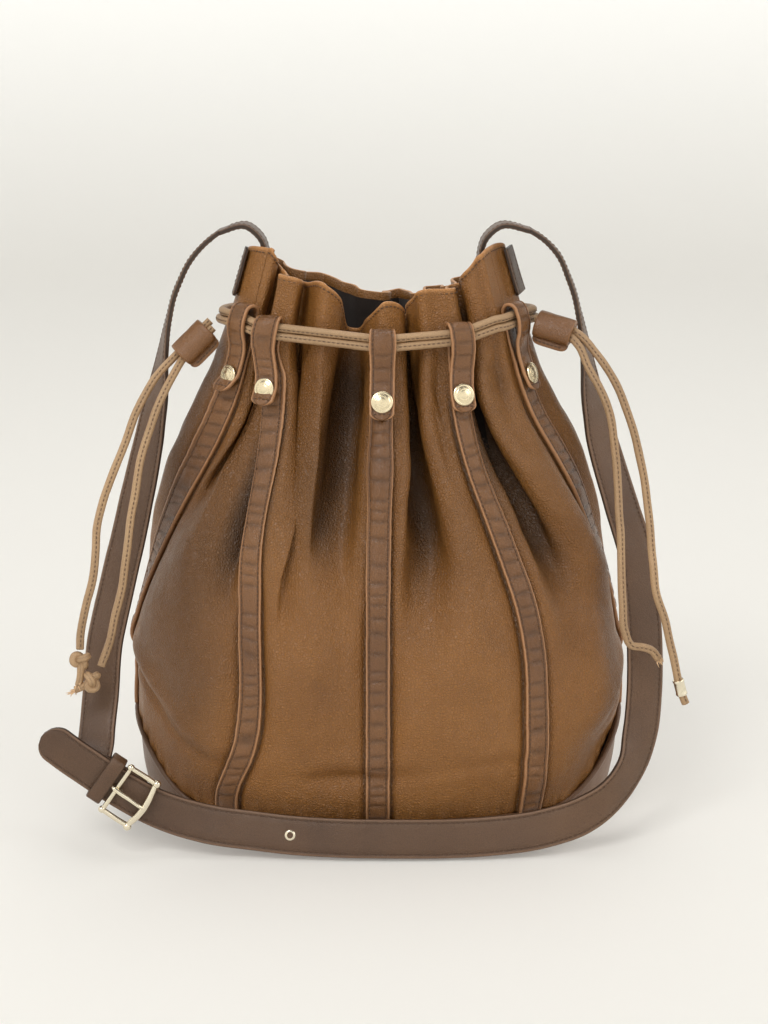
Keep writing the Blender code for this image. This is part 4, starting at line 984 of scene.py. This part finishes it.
def body_strip(index):
    cord = CORD_Z[index]
    low = float(seam_height(index)) + 0.0010
    z = np.linspace(low, cord + 0.0015, 300)
    loop, seams = strip_section(STRIP_HALF_WIDTH, 0.0018)
    reach = lengths(body_point(index, z))
    dip = puckers(reach, index)
    wave = 1 + 0.030 * noise(reach / 0.012, index + 0.5, 52) - 0.022 * dip
    lean = 0.0016 * noise(reach / 0.013, index + 3.5, 54)
    across = loop[None, :, 0] * wave[:, None]
    near_cord = smooth_step(cord - 0.030, cord - 0.008, z)
    height = loop[None, :, 1] + 0.0007 * (1 - near_cord)[:, None] * (loop[None, :, 1] > 0.0004)
    slanted = puckers(reach[:, None] + lean[:, None] * loop[None, :, 0] / STRIP_HALF_WIDTH, index)
    lumps = noise(reach[:, None] / 0.0042 + index * 5, loop[None, :, 0] / 0.0030 + 9, 55)
    dimple = 0.00085 * slanted - 0.00042 * lumps
    height = height - loop[None, :, 2] * dimple * (1 - near_cord)[:, None]
    height = height * (1 - 0.30 * near_cord)[:, None] + 0.0001
    u = index + across / LEATHER_PER_U
    height = height + slump(u, z[:, None] + 0 * u)
    grid = folded(index, z, height, across, True, cord - 0.026, cord - 0.010)
    # Painted shade: the dips of the puckers are darkened in the tone; the cut edges stay pale.
    tone = loop[None, :, 3] - 0.42 * loop[None, :, 2] * slanted + 0.06 * noise(
        reach / 0.03, index, 53
    )[:, None]
    shape = Shape()
    shape.sweep(grid, tone=tone)
    up = body_normal(index + 0 * z, z)
    for side, column in enumerate(seams):
        shape.stitches(grid[:, column], up, pitch=0.0026, start=0.0006 * side)
    return shape


TAB_FLIP = (0.0050, 0.0045, 0.0010, 0.0008, 0.0010, 0.0006, 0.0006, 0.0008)


def tab(index):
    cord = CORD_Z[index]
    front = CORD_OUT + ARCH_RADIUS
    path = [(cord - 0.0030, CORD_OUT - ARCH_RADIUS)] + arch(index, 180, 0, 19)
    path += [(cord - 0.0040, front), (cord - 0.0085, front - 0.0012), (cord - 0.0140, TAB_OUT + 0.0012)]
    path += [(cord - drop, TAB_OUT + 0.0001) for drop in (0.0200, 0.0270, SNAP_BELOW_CORD, TAB_LENGTH)]
    path = np.array(path)
    reach = lengths(path)
    fine = np.linspace(0, reach[-1], 110)
    path = smooth_rows(fine, reach, path)
    left = fine[-1] - fine
    path[:, 1] += TAB_FLIP[index] * smooth_step(0.012, 0.0, left)
    ahead = unit(np.gradient(path, axis=0))
    away = np.stack([ahead[:, 1], -ahead[:, 0]], axis=-1)
    loop, seams = strip_section(STRIP_HALF_WIDTH, TAB_THICKNESS)
    dip = puckers(fine, index + 9) * smooth_step(0.0, 0.004, left - 0.002)
    end = np.sqrt(np.clip(1 - np.clip(1 - left / 0.0042, 0, 1) ** 2.2, 0.06, 1))
    across = loop[None, :, 0] * (end * (1 - 0.02 * dip))[:, None]
    height = loop[None, :, 1] - TAB_THICKNESS / 2 - loop[None, :, 2] * (0.00065 * dip)[:, None]
    at = path[:, None, :] + away[:, None, :] * height[..., None]
    grid = folded_rows(index, at[..., 0], at[..., 1], across, cord - 0.014, cord - 0.005)
    # Painted shade: the pucker dips are darkened in the tone; the cut edges stay pale.
    tone = loop[None, :, 3] - 0.34 * loop[None, :, 2] * dip[:, None]
    shape = Shape()
    shape.sweep(grid, tone=tone)
    stop = int(np.searchsorted(-left, -0.0032))
    up = unit(grid[:, (seams[0] + seams[1]) // 2] - grid[:, -3])
    for column in seams:
        shape.stitches(grid[8:stop, column], up[8:stop], pitch=0.0025)
    shape.stitches(
        grid[stop, seams[0]:seams[1] + 1],
        np.repeat(up[stop:stop + 1], seams[1] + 1 - seams[0], axis=0), pitch=0.0025
    )
    return shape


def folded_rows(strip, z, out, across, low, high):
    """folded(), for a ribbon whose height differs within a row."""
    normal = fold_normal(strip, z)
    centre = body_point(strip, z) + normal * out[..., None]
    place, facing = held_cord(strip, across)
    middle, outward = held_cord(strip, 0.0)
    rounded = centre + (place - middle) * (1, 1, 0) + (facing - outward) * (out - CORD_OUT)[..., None]
    flat = centre + across[..., None] * fold_side(strip)
    share = smooth_step(low, high, z)[..., None]
    return flat * (1 - share) + rounded * share


def turned(shape, profile, matrix, steps):
    """A piece turned about the matrix's Z axis from (radius, height) places in millimetres, with both
    ends closed."""
    turn = np.linspace(0, 2 * math.pi, steps, endpoint=False)
    rings = np.array([[(r * math.cos(a), r * math.sin(a), h) for a in turn] for r, h in profile])
    shape.sweep(placed(rings * MM, matrix))


# (radius, height) in millimetres round each metal piece's own axis
CAP_PROFILE = (
    (0.0001, -1.2), (2.1, -1.2), (2.8, -1.0), (2.8, -0.1), (5.5, -0.1), (5.95, 0.1), (6.15, 0.5),
    (6.05, 0.95), (5.7, 1.22), (5.25, 1.28), (4.95, 1.16), (4.75, 1.18), (4.4, 1.42), (3.6, 1.72),
    (2.9, 1.88), (2.72, 1.84), (2.55, 1.90), (1.7, 2.06), (0.8, 2.16), (0.0001, 2.18),
)
CAP_DOT = ((0.0001, 1.58), (0.30, 1.60), (0.30, 1.78), (0.18, 1.90), (0.0001, 1.93))
STUD_PROFILE = (
    (0.0001, 0), (3.5, 0), (3.6, 0.2), (3.4, 0.4), (1.7, 0.5),
    (1.5, 0.9), (1.65, 1.3), (1.4, 1.6), (0.8, 1.7), (0.0001, 1.55),
)
EYELET_PROFILE = (
    (0.0001, -0.3), (1.3, -0.3), (1.5, 0.3), (1.9, 0.75), (2.5, 0.75),
    (3.0, 0.45), (3.2, 0.1), (3.1, -0.2), (0.0002, -0.4),
)
FERRULE_PROFILE = (
    (2.4, -4.5), (3.0, -4.7), (3.3, -4.3), (3.3, -3.5), (3.1, -3.2),
    (3.1, 3.2), (3.3, 3.5), (3.3, 4.3), (3.0, 4.7), (2.4, 4.5),
)


def snap_cap(index):
    base = TAB_OUT + TAB_THICKNESS / 2 + 0.0008
    matrix = snap_place(index) @ Matrix.Translation((0, 0, base))
    shape = Shape()
    turned(shape, CAP_PROFILE, matrix, 56)
    for k in range(12):
        a = 2 * math.pi * k / 12
        centre = Matrix.Translation((3.75 * MM * math.cos(a), 3.75 * MM * math.sin(a), 0))
        turned(shape, CAP_DOT, matrix @ centre, 10)
    return shape


def snap_stud(index):
    foot = Matrix.Translation((0, 0, 0.0037))
    shape = Shape()
    turned(shape, STUD_PROFILE, snap_place(index) @ foot, 32)
    return shape


# ---------------------------------------------------------------- cords

def cord_sweep(
    shape, line, facing, loop=False, radius=CORD_DIAMETER / 2, tone=0.0, seam_at=0.0, stitched=True
):
    """A folded leather cord along line: a round section with a sewn groove on the side that faces facing."""
    ahead = np.roll(line, -1, axis=0) - np.roll(line, 1, axis=0) if loop else np.gradient(line, axis=0)
    ahead = unit(ahead)
    out = unit(facing - ahead * np.einsum("ij,ij->i", facing, ahead)[:, None])
    side = np.cross(ahead, out)
    turn = np.linspace(0, 2 * math.pi, 22, endpoint=False)
    from_seam = np.mod(turn - seam_at + math.pi, 2 * math.pi) - math.pi
    thick = 1 - 0.13 * hill(from_seam, 0.20) + 0.035 * hill(np.abs(from_seam) - 0.62, 0.35)
    reach = lengths(line)
    lumps = 1 + 0.035 * noise(reach / 0.007, 3.5, 61)[:, None] + 0.025 * np.sin(
        reach / 0.0027 * 2 * math.pi
    )[:, None] * hill(from_seam, 0.5)
    size = radius * thick[None, :] * lumps
    marks = tone - 0.30 * hill(from_seam, 0.16)[None, :] + 0.10 * noise(reach / 0.02, 1.5, 62)[:, None]
    shape.sweep(hoops(line, out, side, size, len(turn)), loop=loop, tone=marks)
    if stitched:
        lift = out * math.cos(seam_at) + side * math.sin(seam_at)
        shape.stitches(line + lift * radius * 0.90, lift, pitch=0.0027, size=0.0017, radius=0.00028)


def drawcord(above):
    line = drawcord_route(above, 620)
    ahead = unit(np.roll(line, -3, axis=0) - np.roll(line, 3, axis=0))
    out = np.cross(ahead, np.array([0, 0, 1.0]))
    line = line + out * (0.0004 * noise(np.arange(620) / 14, above * 900, 63))[:, None]
    shape = Shape()
    cord_sweep(shape, line, out, loop=True, seam_at=0.35 if above > 0 else -0.2)
    return shape


def tail_line(name):
    line = smooth_route(TAIL_ROUTES[name], 0.0011)
    reach = lengths(line)
    sway = smooth_step(0.02, 0.05, reach) * smooth_step(0, 0.02, reach[-1] - reach)
    seed = sum(map(ord, name)) % 50
    line[:, 0] += 0.0006 * sway * noise(reach / 0.018, seed, 64)
    line[:, 1] += 0.0006 * sway * noise(reach / 0.020, seed + 9, 65)
    return line


def frayed(shape, end, ahead, radius, seed):
    """Short torn fibres at a cord's cut end."""
    rng = np.random.default_rng(seed)
    for _ in range(16):
        away = np.array(ahead) + rng.uniform(-0.45, 0.45, 3)
        start = np.array(end) + rng.uniform(-0.6, 0.6, 3) * radius
        tip = start + rng.uniform(0.0025, 0.0042) * (away + rng.uniform(-0.3, 0.3, 3))
        line = np.array([start - 0.001 * away, start + 0.0015 * away, tip])
        side = unit(np.cross(away, (0.3, 1.0, 0.2)))
        other = unit(np.cross(side, away))
        turn = np.linspace(0, 2 * math.pi, 5, endpoint=False)
        sides = np.array([side * math.cos(t) + other * math.sin(t) for t in turn])
        rings = [place + r * sides for place, r in zip(line, (0.0005, 0.0004, 0.0001))]
        shape.sweep(rings, tone=0.75)


def tail(name):
    line = tail_line(name)
    twist = lengths(line) / 0.16
    facing = np.stack([0.55 * np.sin(twist), -1 + 0 * twist, 0.15 + 0 * twist], axis=-1)
    shape = Shape()
    cord_sweep(shape, line, facing, seam_at=0.15)
    return shape, line


def torn_end(line):
    shape = Shape()
    frayed(shape, line[-1], unit(line[-1] - line[-4]), CORD_DIAMETER / 2, 5)
    return shape


KNOTS = {
    "knot_left_outer": ((-0.1686, -0.0742, 0.1128), (0.2, 0.5), 0.00150, (-0.15, -0.2, -1.0), 0.010),
    "knot_left_inner": ((-0.1622, -0.0760, 0.1010), (1.2, -0.4), 0.00160, (-0.95, -0.1, -0.45), 0.007),
}


def knot(name):
    """Tight overhand knot of the tail's own cord, with its short cut end."""
    centre, (spin, tilt), size, end_way, end_length = KNOTS[name]
    turn = np.linspace(0, 2 * math.pi, 150, endpoint=False)
    x, y = np.sin(turn) + 2 * np.sin(2 * turn), np.cos(turn) - 2 * np.cos(2 * turn)
    loop = np.stack([x, y, -1.15 * np.sin(3 * turn)], axis=-1) * size
    world = Matrix.Rotation(tilt, 3, "X") @ Matrix.Rotation(spin, 3, "Z") @ Matrix.Rotation(
        math.pi / 2, 3, "X"
    )
    loop = loop @ np.array(world).T + np.array(centre)
    shape = Shape()
    cord_sweep(shape, loop, loop - np.array(centre), loop=True, radius=0.0021, stitched=False)
    way = unit(np.array(end_way, float))
    end = np.array(centre) + way * np.linspace(0.001, 0.0045 + end_length, 14)[:, None]
    end[:, 0] += 0.0012 * np.sin(np.linspace(0, 2.5, 14))
    cord_sweep(shape, end, np.tile((0.1, -1.0, 0.1), (14, 1)), radius=0.0021, stitched=False)
    frayed(shape, end[-1], way, 0.0021, 7 if "outer" in name else 8)
    return shape


def slider(side):
    matrix = slider_matrix(side) @ Matrix.Translation((0, 0, SLEEVE_SHIFT[side]))
    half_x, half_y = SLEEVE_HALF
    world = np.array(matrix)
    down = world[:3, :3].T @ np.array([0.15 if side == "left" else -0.15, -0.25, -1.0])
    down_at = math.atan2(down[1], down[0])
    along = np.concatenate(
        [[-0.0108, -0.0111, -0.0108], np.linspace(-0.0103, 0.0103, 26), [0.0108, 0.0111, 0.0108]]
    )
    fat = np.concatenate(
        [[0.72, 0.80, 0.96], 1.0 + 0.03 * noise(np.linspace(0, 5, 26), 2.0, 71), [0.96, 0.80, 0.72]]
    )
    turn = np.linspace(0, 2 * math.pi, 40, endpoint=False)
    rings = []
    for z, size in zip(along, fat):
        rings.append(
            np.stack(
                [half_x * size * np.cos(turn), half_y * size * np.sin(turn), z + 0 * turn], axis=-1
            )
        )
    shape = Shape()
    rings = np.array(rings)
    tone = np.zeros(rings.shape[:2])
    tone[:3], tone[-3:] = 0.35, 0.35
    shape.sweep(placed(rings, matrix), tone=tone)
    way = np.array([math.cos(down_at), math.sin(down_at), 0])
    across = np.array([-way[1], way[0], 0])
    near = 1 / math.hypot(way[0] / half_x, way[1] / half_y)
    rows = np.linspace(-0.0106, 0.0106, 30)
    tall = 0.0042 * np.sqrt(np.clip(1 - (np.abs(rows) / 0.0109) ** 6, 0.05, 1))
    fin = []
    for z, high in zip(rows, tall):
        places = [(near - 0.0015, 0.0011), (
            near + high * 0.6, 0.00095
        ), (near + high, 0.00075), (near + high + 0.0002, 0.0),
                  (near + high, -0.00075), (near + high * 0.6, -0.00095), (near - 0.0015, -0.0011)]
        fin.append([way * r + across * s + (0, 0, z) for r, s in places])
    fin = np.array(fin)
    shape.sweep(placed(fin, matrix), tone=np.tile((0, 0, 0.35, 0.5, 0.35, 0, 0), (30, 1)))
    for face, sign in ((1, 1), (5, -1)):
        line = placed(fin[2:-2, face], matrix)
        shape.stitches(line, np.tile(world[:3, :3] @ (across * sign), (len(line), 1)), pitch=0.0024)
    return shape


# ---------------------------------------------------------------- strap

def strap_section(half, thick):
    """Loop of (across, out, tone) of two glued layers with a fine line between their painted edges."""
    t = thick / 2
    edge = [(half - 0.0004, t, 0.55), (half, t * 0.70, -0.20), (
        half + 0.00010, t * 0.32, -0.75
    ), (half - 0.00012, 0.0, -0.95),
            (half + 0.00010, -t * 0.32, -0.75), (half, -t * 0.70, -0.20), (half - 0.0004, -t, 0.55)]
    seam = half - STRAP_STITCH_INSET
    face = [(
        x, t + 0.00018 * (1 - (x / half) ** 2) - 0.00030 * hill(abs(x) - seam, 0.0004),
        -0.25 if abs(abs(x) - seam) < 1e-5 else 0.0
    )
            for x in (
                seam + 0.0006, seam, seam - 0.0006, half * 0.45, 0.0, -half * 0.45, -seam + 0.0006,
                -seam, -seam - 0.0006
            )]
    far_edge = [(-x, h, tone) for x, h, tone in edge]
    loop = edge[::-1] + face + far_edge + [(x, -h, tone) for x, h, tone in face[::-1]]
    upper = (len(edge) + 1, len(edge) + 7)
    lower = (2 * len(edge) + len(face) + 1, 2 * len(edge) + len(face) + 7)
    return np.array(loop), upper, lower


def ribbon(
    shape, places, facings, width, thick, start_width=None, tip=0.0, finish=0, stitched=True,
    spacing=0.0016
):
    """A strap along places; tip rounds its far end over that length."""
    places, facings = np.asarray(places, float), unit(np.asarray(facings, float))
    reach = lengths(places)
    even = np.linspace(0, reach[-1], max(6, round(reach[-1] / spacing)))
    centre = smooth_rows(even, reach, places)
    facing = unit(smooth_rows(even, reach, facings))
    along = unit(np.gradient(centre, axis=0))
    across = unit(np.cross(along, facing))
    out = np.cross(across, along)
    loop, upper, lower = strap_section(width / 2, thick)
    left = even[-1] - even
    share = np.ones(len(even))
    if start_width:
        narrow = start_width / width
        share = share * (narrow + (1 - narrow) * smooth_step(0.0, 0.020, even))
    if tip:
        share = share * np.sqrt(np.clip(1 - np.clip(1 - left / tip, 0, 1) ** 2, 0.02, 1))
    wave = 0.00025 * noise(even / 0.012, 2.2, 81)
    sideways = (loop[:, 0] * share[:, None])[..., None]
    outwards = (loop[:, 1] + wave[:, None])[..., None]
    grid = centre[:, None] + across[:, None] * sideways + out[:, None] * outwards
    shape.sweep(
        grid, finish=finish, tone=loop[None, :, 2] + 0.08 * noise(even / 0.03, 4.4, 82)[:, None]
    )
    if stitched:
        rows = slice(3, int(np.searchsorted(-left, -max(0.0022, tip * 0.5))))
        for column in upper:
            shape.stitches(grid[rows, column], out[rows], pitch=0.0029, size=0.0020)
        for column in lower:
            shape.stitches(grid[rows, column], -out[rows], pitch=0.0029, size=0.0020)
    return grid


def buckle_local(x, y, z):
    return buckle_matrix() @ Vector((x, y, z))


def strap_short():
    places = [Vector(place) for place, _ in STRAP_LEFT]
    facings = [Vector(facing) for _, facing in STRAP_LEFT]
    layer = -(STRAP_THICKNESS + 0.0009)
    for reach in (0.021, 0.013, 0.005, -0.002, -0.0085):
        places.append(buckle_local(reach, 0, layer))
        facings.append(buckle_matrix().to_3x3() @ Vector((0, 0, 1)))
    shape = Shape()
    ribbon(shape, places, facings, STRAP_WIDTH, STRAP_THICKNESS)
    return shape


def strap_long():
    shape = Shape()
    ribbon(
        shape, [p for p, _ in STRAP_RIGHT], [f for _, f in STRAP_RIGHT], STRAP_WIDTH, STRAP_THICKNESS,
        tip=0.010
    )
    return shape


def strap_anchor(side, start_x, end):
    places = [(side * (start_x - 0.0005), 0.0, 0.3160), (side * start_x, 0.0, 0.3300)]
    places += [(side * (start_x + 0.0040), 0.0, 0.3440), (side * (start_x + 0.0110), 0.0, 0.3500)]
    places.append((end[0], 0.0, end[2] + 0.0001))
    facings = [(-side, 0, 0), (-side, 0, 0), (-side * 0.8, 0, 0.6), (0, 0, 1), (side * 0.3, 0, 1)]
    shape = Shape()
    ribbon(shape, places, facings, 0.0215, STRAP_THICKNESS, start_width=ANCHOR_WIDTH)
    return shape


def ear_band(side):
    u = EAR_BAND_U[side]
    z = np.linspace(*EAR_BAND_HEIGHTS, 9)
    facings = body_normal(u, z)
    places = body_point(u, z) + facings * 0.0017
    shape = Shape()
    ribbon(shape, places, facings, EAR_BAND_WIDTH, 0.0018)
    return shape


def bar(shape, places, radius, matrix, taper=None, spacing=0.0006):
    """Round metal bar through places in the matrix's frame."""
    places = np.array(places, float)
    reach = lengths(places)
    even = np.linspace(0, reach[-1], max(8, round(reach[-1] / spacing)))
    line = smooth_rows(even, reach, places)
    ahead = unit(np.gradient(line, axis=0))
    up = unit(np.array([0, 0, 1.0]) - ahead * ahead[:, 2:3])
    side = np.cross(ahead, up)
    size = radius * (np.ones(len(even)) if taper is None else np.interp(even / reach[-1], *taper))
    shape.sweep(placed(hoops(line, side, up, size, 18), matrix))


def ball(shape, centre, radius, matrix):
    turns = np.linspace(0, math.pi, 18)
    places = [(max(1e-5, radius * math.sin(a)) / MM, -radius / MM * math.cos(a)) for a in turns]
    turned(shape, places, matrix @ Matrix.Translation(centre), 28)


def buckle_frame():
    matrix = buckle_matrix()
    shape = Shape()
    half, reach, rise = BUCKLE_HALF_WIDTH, BUCKLE_HALF_LENGTH, BUCKLE_RISE
    front, heel = BUCKLE_SHIFT - reach, BUCKLE_SHIFT + reach
    for side in (-1, 1):
        y = side * half
        corner = (front - 0.0005, side * (half - 0.0004), 0.0038)
        bar(shape, [(heel, y, rise), (front + 0.003, y, rise), corner], 0.0015, matrix)
        ball(shape, (heel + 0.0003, side * half, rise), 0.0021, matrix)
        ball(shape, (front - 0.0002, side * (half + 0.0003), 0.0038), 0.0024, matrix)
    bow = [
        (
            front - 0.0022 * math.cos(t * math.pi / 2) + 0.0004, t * half,
            0.0040 + 0.0016 * math.cos(t * math.pi / 2)
        )
        for t in np.linspace(-1, 1, 13)
    ]
    bar(shape, bow, 0.0019, matrix, taper=([0, 0.1, 0.5, 0.9, 1], [0.75, 0.9, 1.15, 0.9, 0.75]))
    bar(shape, [(heel, -half, rise), (heel, 0, rise), (heel, half, rise)], 0.0014, matrix)
    return shape


def buckle_prong():
    matrix = buckle_matrix()
    shape = Shape()
    bar(shape, [
        (BUCKLE_SHIFT + 0.0098, 0, 0.0056), (0.0012, 0, 0.0064), (-0.0060, 0, 0.0068),
        (-0.0125, 0, 0.0075), (-0.0150, 0, 0.0070)
    ],
        0.0013, matrix, taper=([0, 0.3, 0.85, 1], [1.15, 1.05, 0.85, 0.55]))
    heel = BUCKLE_SHIFT + BUCKLE_HALF_LENGTH
    wrap = [
        (heel + 0.0026 * math.cos(a), 0, BUCKLE_RISE + 0.0026 * math.sin(a))
        for a in np.linspace(-0.6, math.pi + 0.4, 16)
    ]
    bar(shape, wrap, 0.0011, matrix)
    return shape


def strap_keeper():
    matrix = buckle_matrix() @ Matrix.Translation(KEEPER_PLACE)
    half_y, half_z = KEEPER_HALF
    turn = np.linspace(0, 2 * math.pi, 64, endpoint=False)
    power = 0.36
    y = np.sign(np.cos(turn)) * np.abs(np.cos(turn)) ** power
    z = np.sign(np.sin(turn)) * np.abs(np.sin(turn)) ** power
    rings = []
    for y0, z0, x in ((0.0, 0.0, -0.0042), (
        0.0010, 0.0010, -0.0044
    ), (0.0015, 0.0014, -0.0038), (0.0015, 0.0014, 0.0), (0.0015, 0.0014, 0.0038),
                      (0.0010, 0.0010, 0.0044), (0.0, 0.0, 0.0042), (-0.0001, -0.0001, 0.0)):
        rings.append(np.stack([x + 0 * y, (half_y + y0) * y, (half_z + z0) * z], axis=-1))
    rings = np.array(rings)
    tone = np.zeros(rings.shape[:2])
    tone[1], tone[5] = -0.5, -0.5
    shape = Shape()
    shape.sweep(placed(rings, matrix), tone=tone, loop=True)
    return shape


def strap_eyelet():
    place, facing = STRAP_RIGHT[EYELET_STATION]
    ahead = Vector(STRAP_RIGHT[EYELET_STATION + 1][0]) - Vector(STRAP_RIGHT[EYELET_STATION - 1][0])
    out = Vector(facing)
    out = (out - ahead * out.dot(ahead) / ahead.length_squared).normalized()
    centre = Vector(place) + out * (STRAP_THICKNESS / 2)
    matrix = axis_matrix(centre, centre + out * 1e-6, ahead)
    shape = Shape()
    turned(shape, EYELET_PROFILE, matrix, 40)
    return shape


def tip_ferrule():
    route = TAIL_ROUTES["tail_right_outer"]
    matrix = axis_matrix(route[-2], route[-3], (0, 1, 0))
    shape = Shape()
    turned(shape, FERRULE_PROFILE, matrix, 36)
    return shape


# ---------------------------------------------------------------- cords first

for cord_name, end, fittings in (
    ("tail_left_outer", "knot", ("knot_left_outer",)),
    ("tail_left_inner", "knot", ("knot_left_inner",)),
    ("tail_right_outer", "fitting", ("tip_ferrule",)), ("tail_right_inner", "bare", ("torn_end",)),
):
    shape, line = tail(cord_name)
    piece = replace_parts(
        shape.build(cord_name + "_cord", (CORD, PALE_THREAD), "cord_leather", "root"), cord_name
    )
    for fitting in fittings:
        if fitting == "torn_end":
            torn_end(line).build("tail_right_inner_fray", (CORD,), "cord_leather", "root")
            continue
        if fitting == "tip_ferrule":
            other = tip_ferrule().build("ferrule_metal", (BUCKLE,), "buckle_metal", "root", sharp=40)
        else:
            other = knot(fitting).build(fitting + "_cord", (CORD,), "cord_leather", "root")
        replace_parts(other, fitting)

for level, above in (("upper", DRAWCORD_SPREAD), ("lower", -DRAWCORD_SPREAD)):
    made = drawcord(above).build(f"drawcord_{level}_loop", (CORD, PALE_THREAD), "cord_leather", "root")
    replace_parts(made, f"drawcord_{level}")

# ---------------------------------------------------------------- body

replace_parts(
    wall("front", 0, 400, 190).build("front_leather", (BODY, THREAD), "body_leather", "root"),
    "front_panel"
)
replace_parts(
    wall("back", 4, 400, 190).build("back_leather", (BODY, THREAD), "body_leather", "root"),
    "back_panel"
)
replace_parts(lining().build("lining_suede", (LINING,), "lining", "root"), "lining")
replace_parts(base().build("base_leather", (BASE, THREAD), "base_leather", "root"), "base_panel")
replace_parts(piping().build("base_welt", (BASE,), "base_leather", "root"), "base_piping")
for index, place in enumerate(PLACES):
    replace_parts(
        body_strip(index).build(f"strip_{place}_leather", (STRIP, THREAD), "strip_leather", "root"),
        f"strip_{place}"
    )
    flap = tab(index).build(f"tab_{place}_leather", (STRIP, THREAD), "strip_leather")
    middle = np.array(held_cord(index, 0.0)[0])
    outward = np.array(held_cord(index, 0.0)[1])
    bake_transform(flap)
    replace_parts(flap, f"tab_{place}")
    cap = snap_cap(index).build(
        f"snap_{place}_cap", (SNAP,), "snap_gold", f"tab_{place}_flap", sharp=35
    )
    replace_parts(cap, f"snap_cap_{place}")
    stud = snap_stud(index).build(f"snap_{place}_stud", (STUD,), "stud_brass", "root", sharp=35)
    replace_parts(stud, f"snap_stud_{place}")
for side in ("left", "right"):
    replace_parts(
        slider(side).build(f"sleeve_{side}", (STRIP, THREAD), "strip_leather", f"slider_{side}_body"),
        f"slider_{side}"
    )

# ---------------------------------------------------------------- strap

for side, sign, start_x, end in (
    ("left", -1, 0.0635, STRAP_LEFT[0][0]), ("right", 1, 0.0585, STRAP_RIGHT[0][0])
):
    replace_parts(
        strap_anchor(sign, start_x, end).build(
            f"anchor_{side}_leather", (STRAP, THREAD), "strap_leather", "root"
        ),
        f"strap_anchor_{side}"
    )
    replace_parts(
        ear_band(side).build(f"band_{side}_leather", (STRAP, THREAD), "strap_leather", "root"),
        f"ear_band_{side}"
    )
for half, made in (("short", strap_short()), ("long", strap_long())):
    piece = made.build(f"strap_{half}_leather", (STRAP, THREAD), "strap_leather")
    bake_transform(piece)
    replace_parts(piece, f"strap_{half}")
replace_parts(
    buckle_frame().build("buckle_frame_metal", (BUCKLE,), "buckle_metal", "strap", sharp=50),
    "buckle_frame"
)
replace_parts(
    buckle_prong().build("buckle_prong_metal", (BUCKLE,), "buckle_metal", "prong", sharp=50),
    "buckle_prong"
)
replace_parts(strap_keeper().build("keeper_leather", (STRAP,), "strap_leather", "keeper"), "strap_keeper")
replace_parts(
    strap_eyelet().build("eyelet_metal", (BUCKLE,), "buckle_metal", "strap", sharp=40), "strap_eyelet"
)

board_node = bpy.data.objects["base_board"]
board_node.data.materials.clear()
board_node.data.materials.append(BOARD)


# ---------------------------------------------------------------- floor and light

def studio():
    turn = np.linspace(0, 2 * math.pi, 96, endpoint=False)
    profile = [(0.001, 0.0), (0.8, 0.0), (2.0, 0.0), (2.6, 0.0)]
    profile += [
        (2.6 + 1.0 * math.sin(a), 1.0 - 1.0 * math.cos(a)) for a in np.linspace(0.1, math.pi / 2, 14)
    ]
    profile += [(3.6, 2.2), (3.6, 3.4)]
    rings = np.array([[(r * math.cos(a), r * math.sin(a), h) for a in turn] for r, h in profile])
    mesh = bpy.data.meshes.new("studio")
    columns = len(turn)
    faces = [(
        r * columns + c, r * columns + (c + 1) % columns, (r + 1) * columns + (c + 1) % columns,
        (r + 1) * columns + c
    )
             for r in range(len(profile) - 1) for c in range(columns)]
    mesh.from_pydata(rings.reshape(-1, 3).tolist(), [], faces)
    mesh.shade_smooth()
    n = Nodes("studio")
    height = n.new("ShaderNodeSeparateXYZ", Vector=n.where()).outputs["Z"]
    n.put(
        n.shader, "Base Color",
        n.mix(n.span(height, 0.0, 0.8), (0.690, 0.672, 0.630), (0.850, 0.850, 0.825))
    )
    n.put(n.shader, "Emission Strength", n.span(height, 0.0, 0.8, 0.17, 0.40))
    n.shader.inputs["Roughness"].default_value = 0.8
    n.shader.inputs["Emission Color"].default_value = (1.0, 0.99, 0.97, 1)
    mesh.materials.append(n.made)
    floor = bpy.data.objects.new("studio", mesh)
    bpy.context.scene.collection.objects.link(floor)


def area_light(name, place, target, size, power, colour=(1, 1, 1)):
    data = bpy.data.lights.new(name, "AREA")
    data.shape = "DISK"
    data.size = size
    data.energy = power
    data.color = colour
    lamp = bpy.data.objects.new(name, data)
    lamp.location = place
    lamp.rotation_euler = (Vector(target) - Vector(place)).to_track_quat("-Z", "Y").to_euler()
    bpy.context.scene.collection.objects.link(lamp)


studio()
area_light("key", (-0.9, -1.4, 2.1), (0, 0, 0.18), 1.1, 24)
area_light("fill", (1.9, -0.9, 1.5), (0, 0, 0.15), 1.2, 7)
area_light("top", (0.2, 0.5, 2.6), (0, 0, 0.1), 1.6, 17)
world = bpy.data.worlds.new("world")
world.use_nodes = True
world.node_tree.nodes["Background"].inputs["Color"].default_value = (1.0, 0.985, 0.96, 1)
world.node_tree.nodes["Background"].inputs["Strength"].default_value = 0.22
bpy.context.scene.world = world
bpy.context.scene.view_settings.view_transform = "Standard"
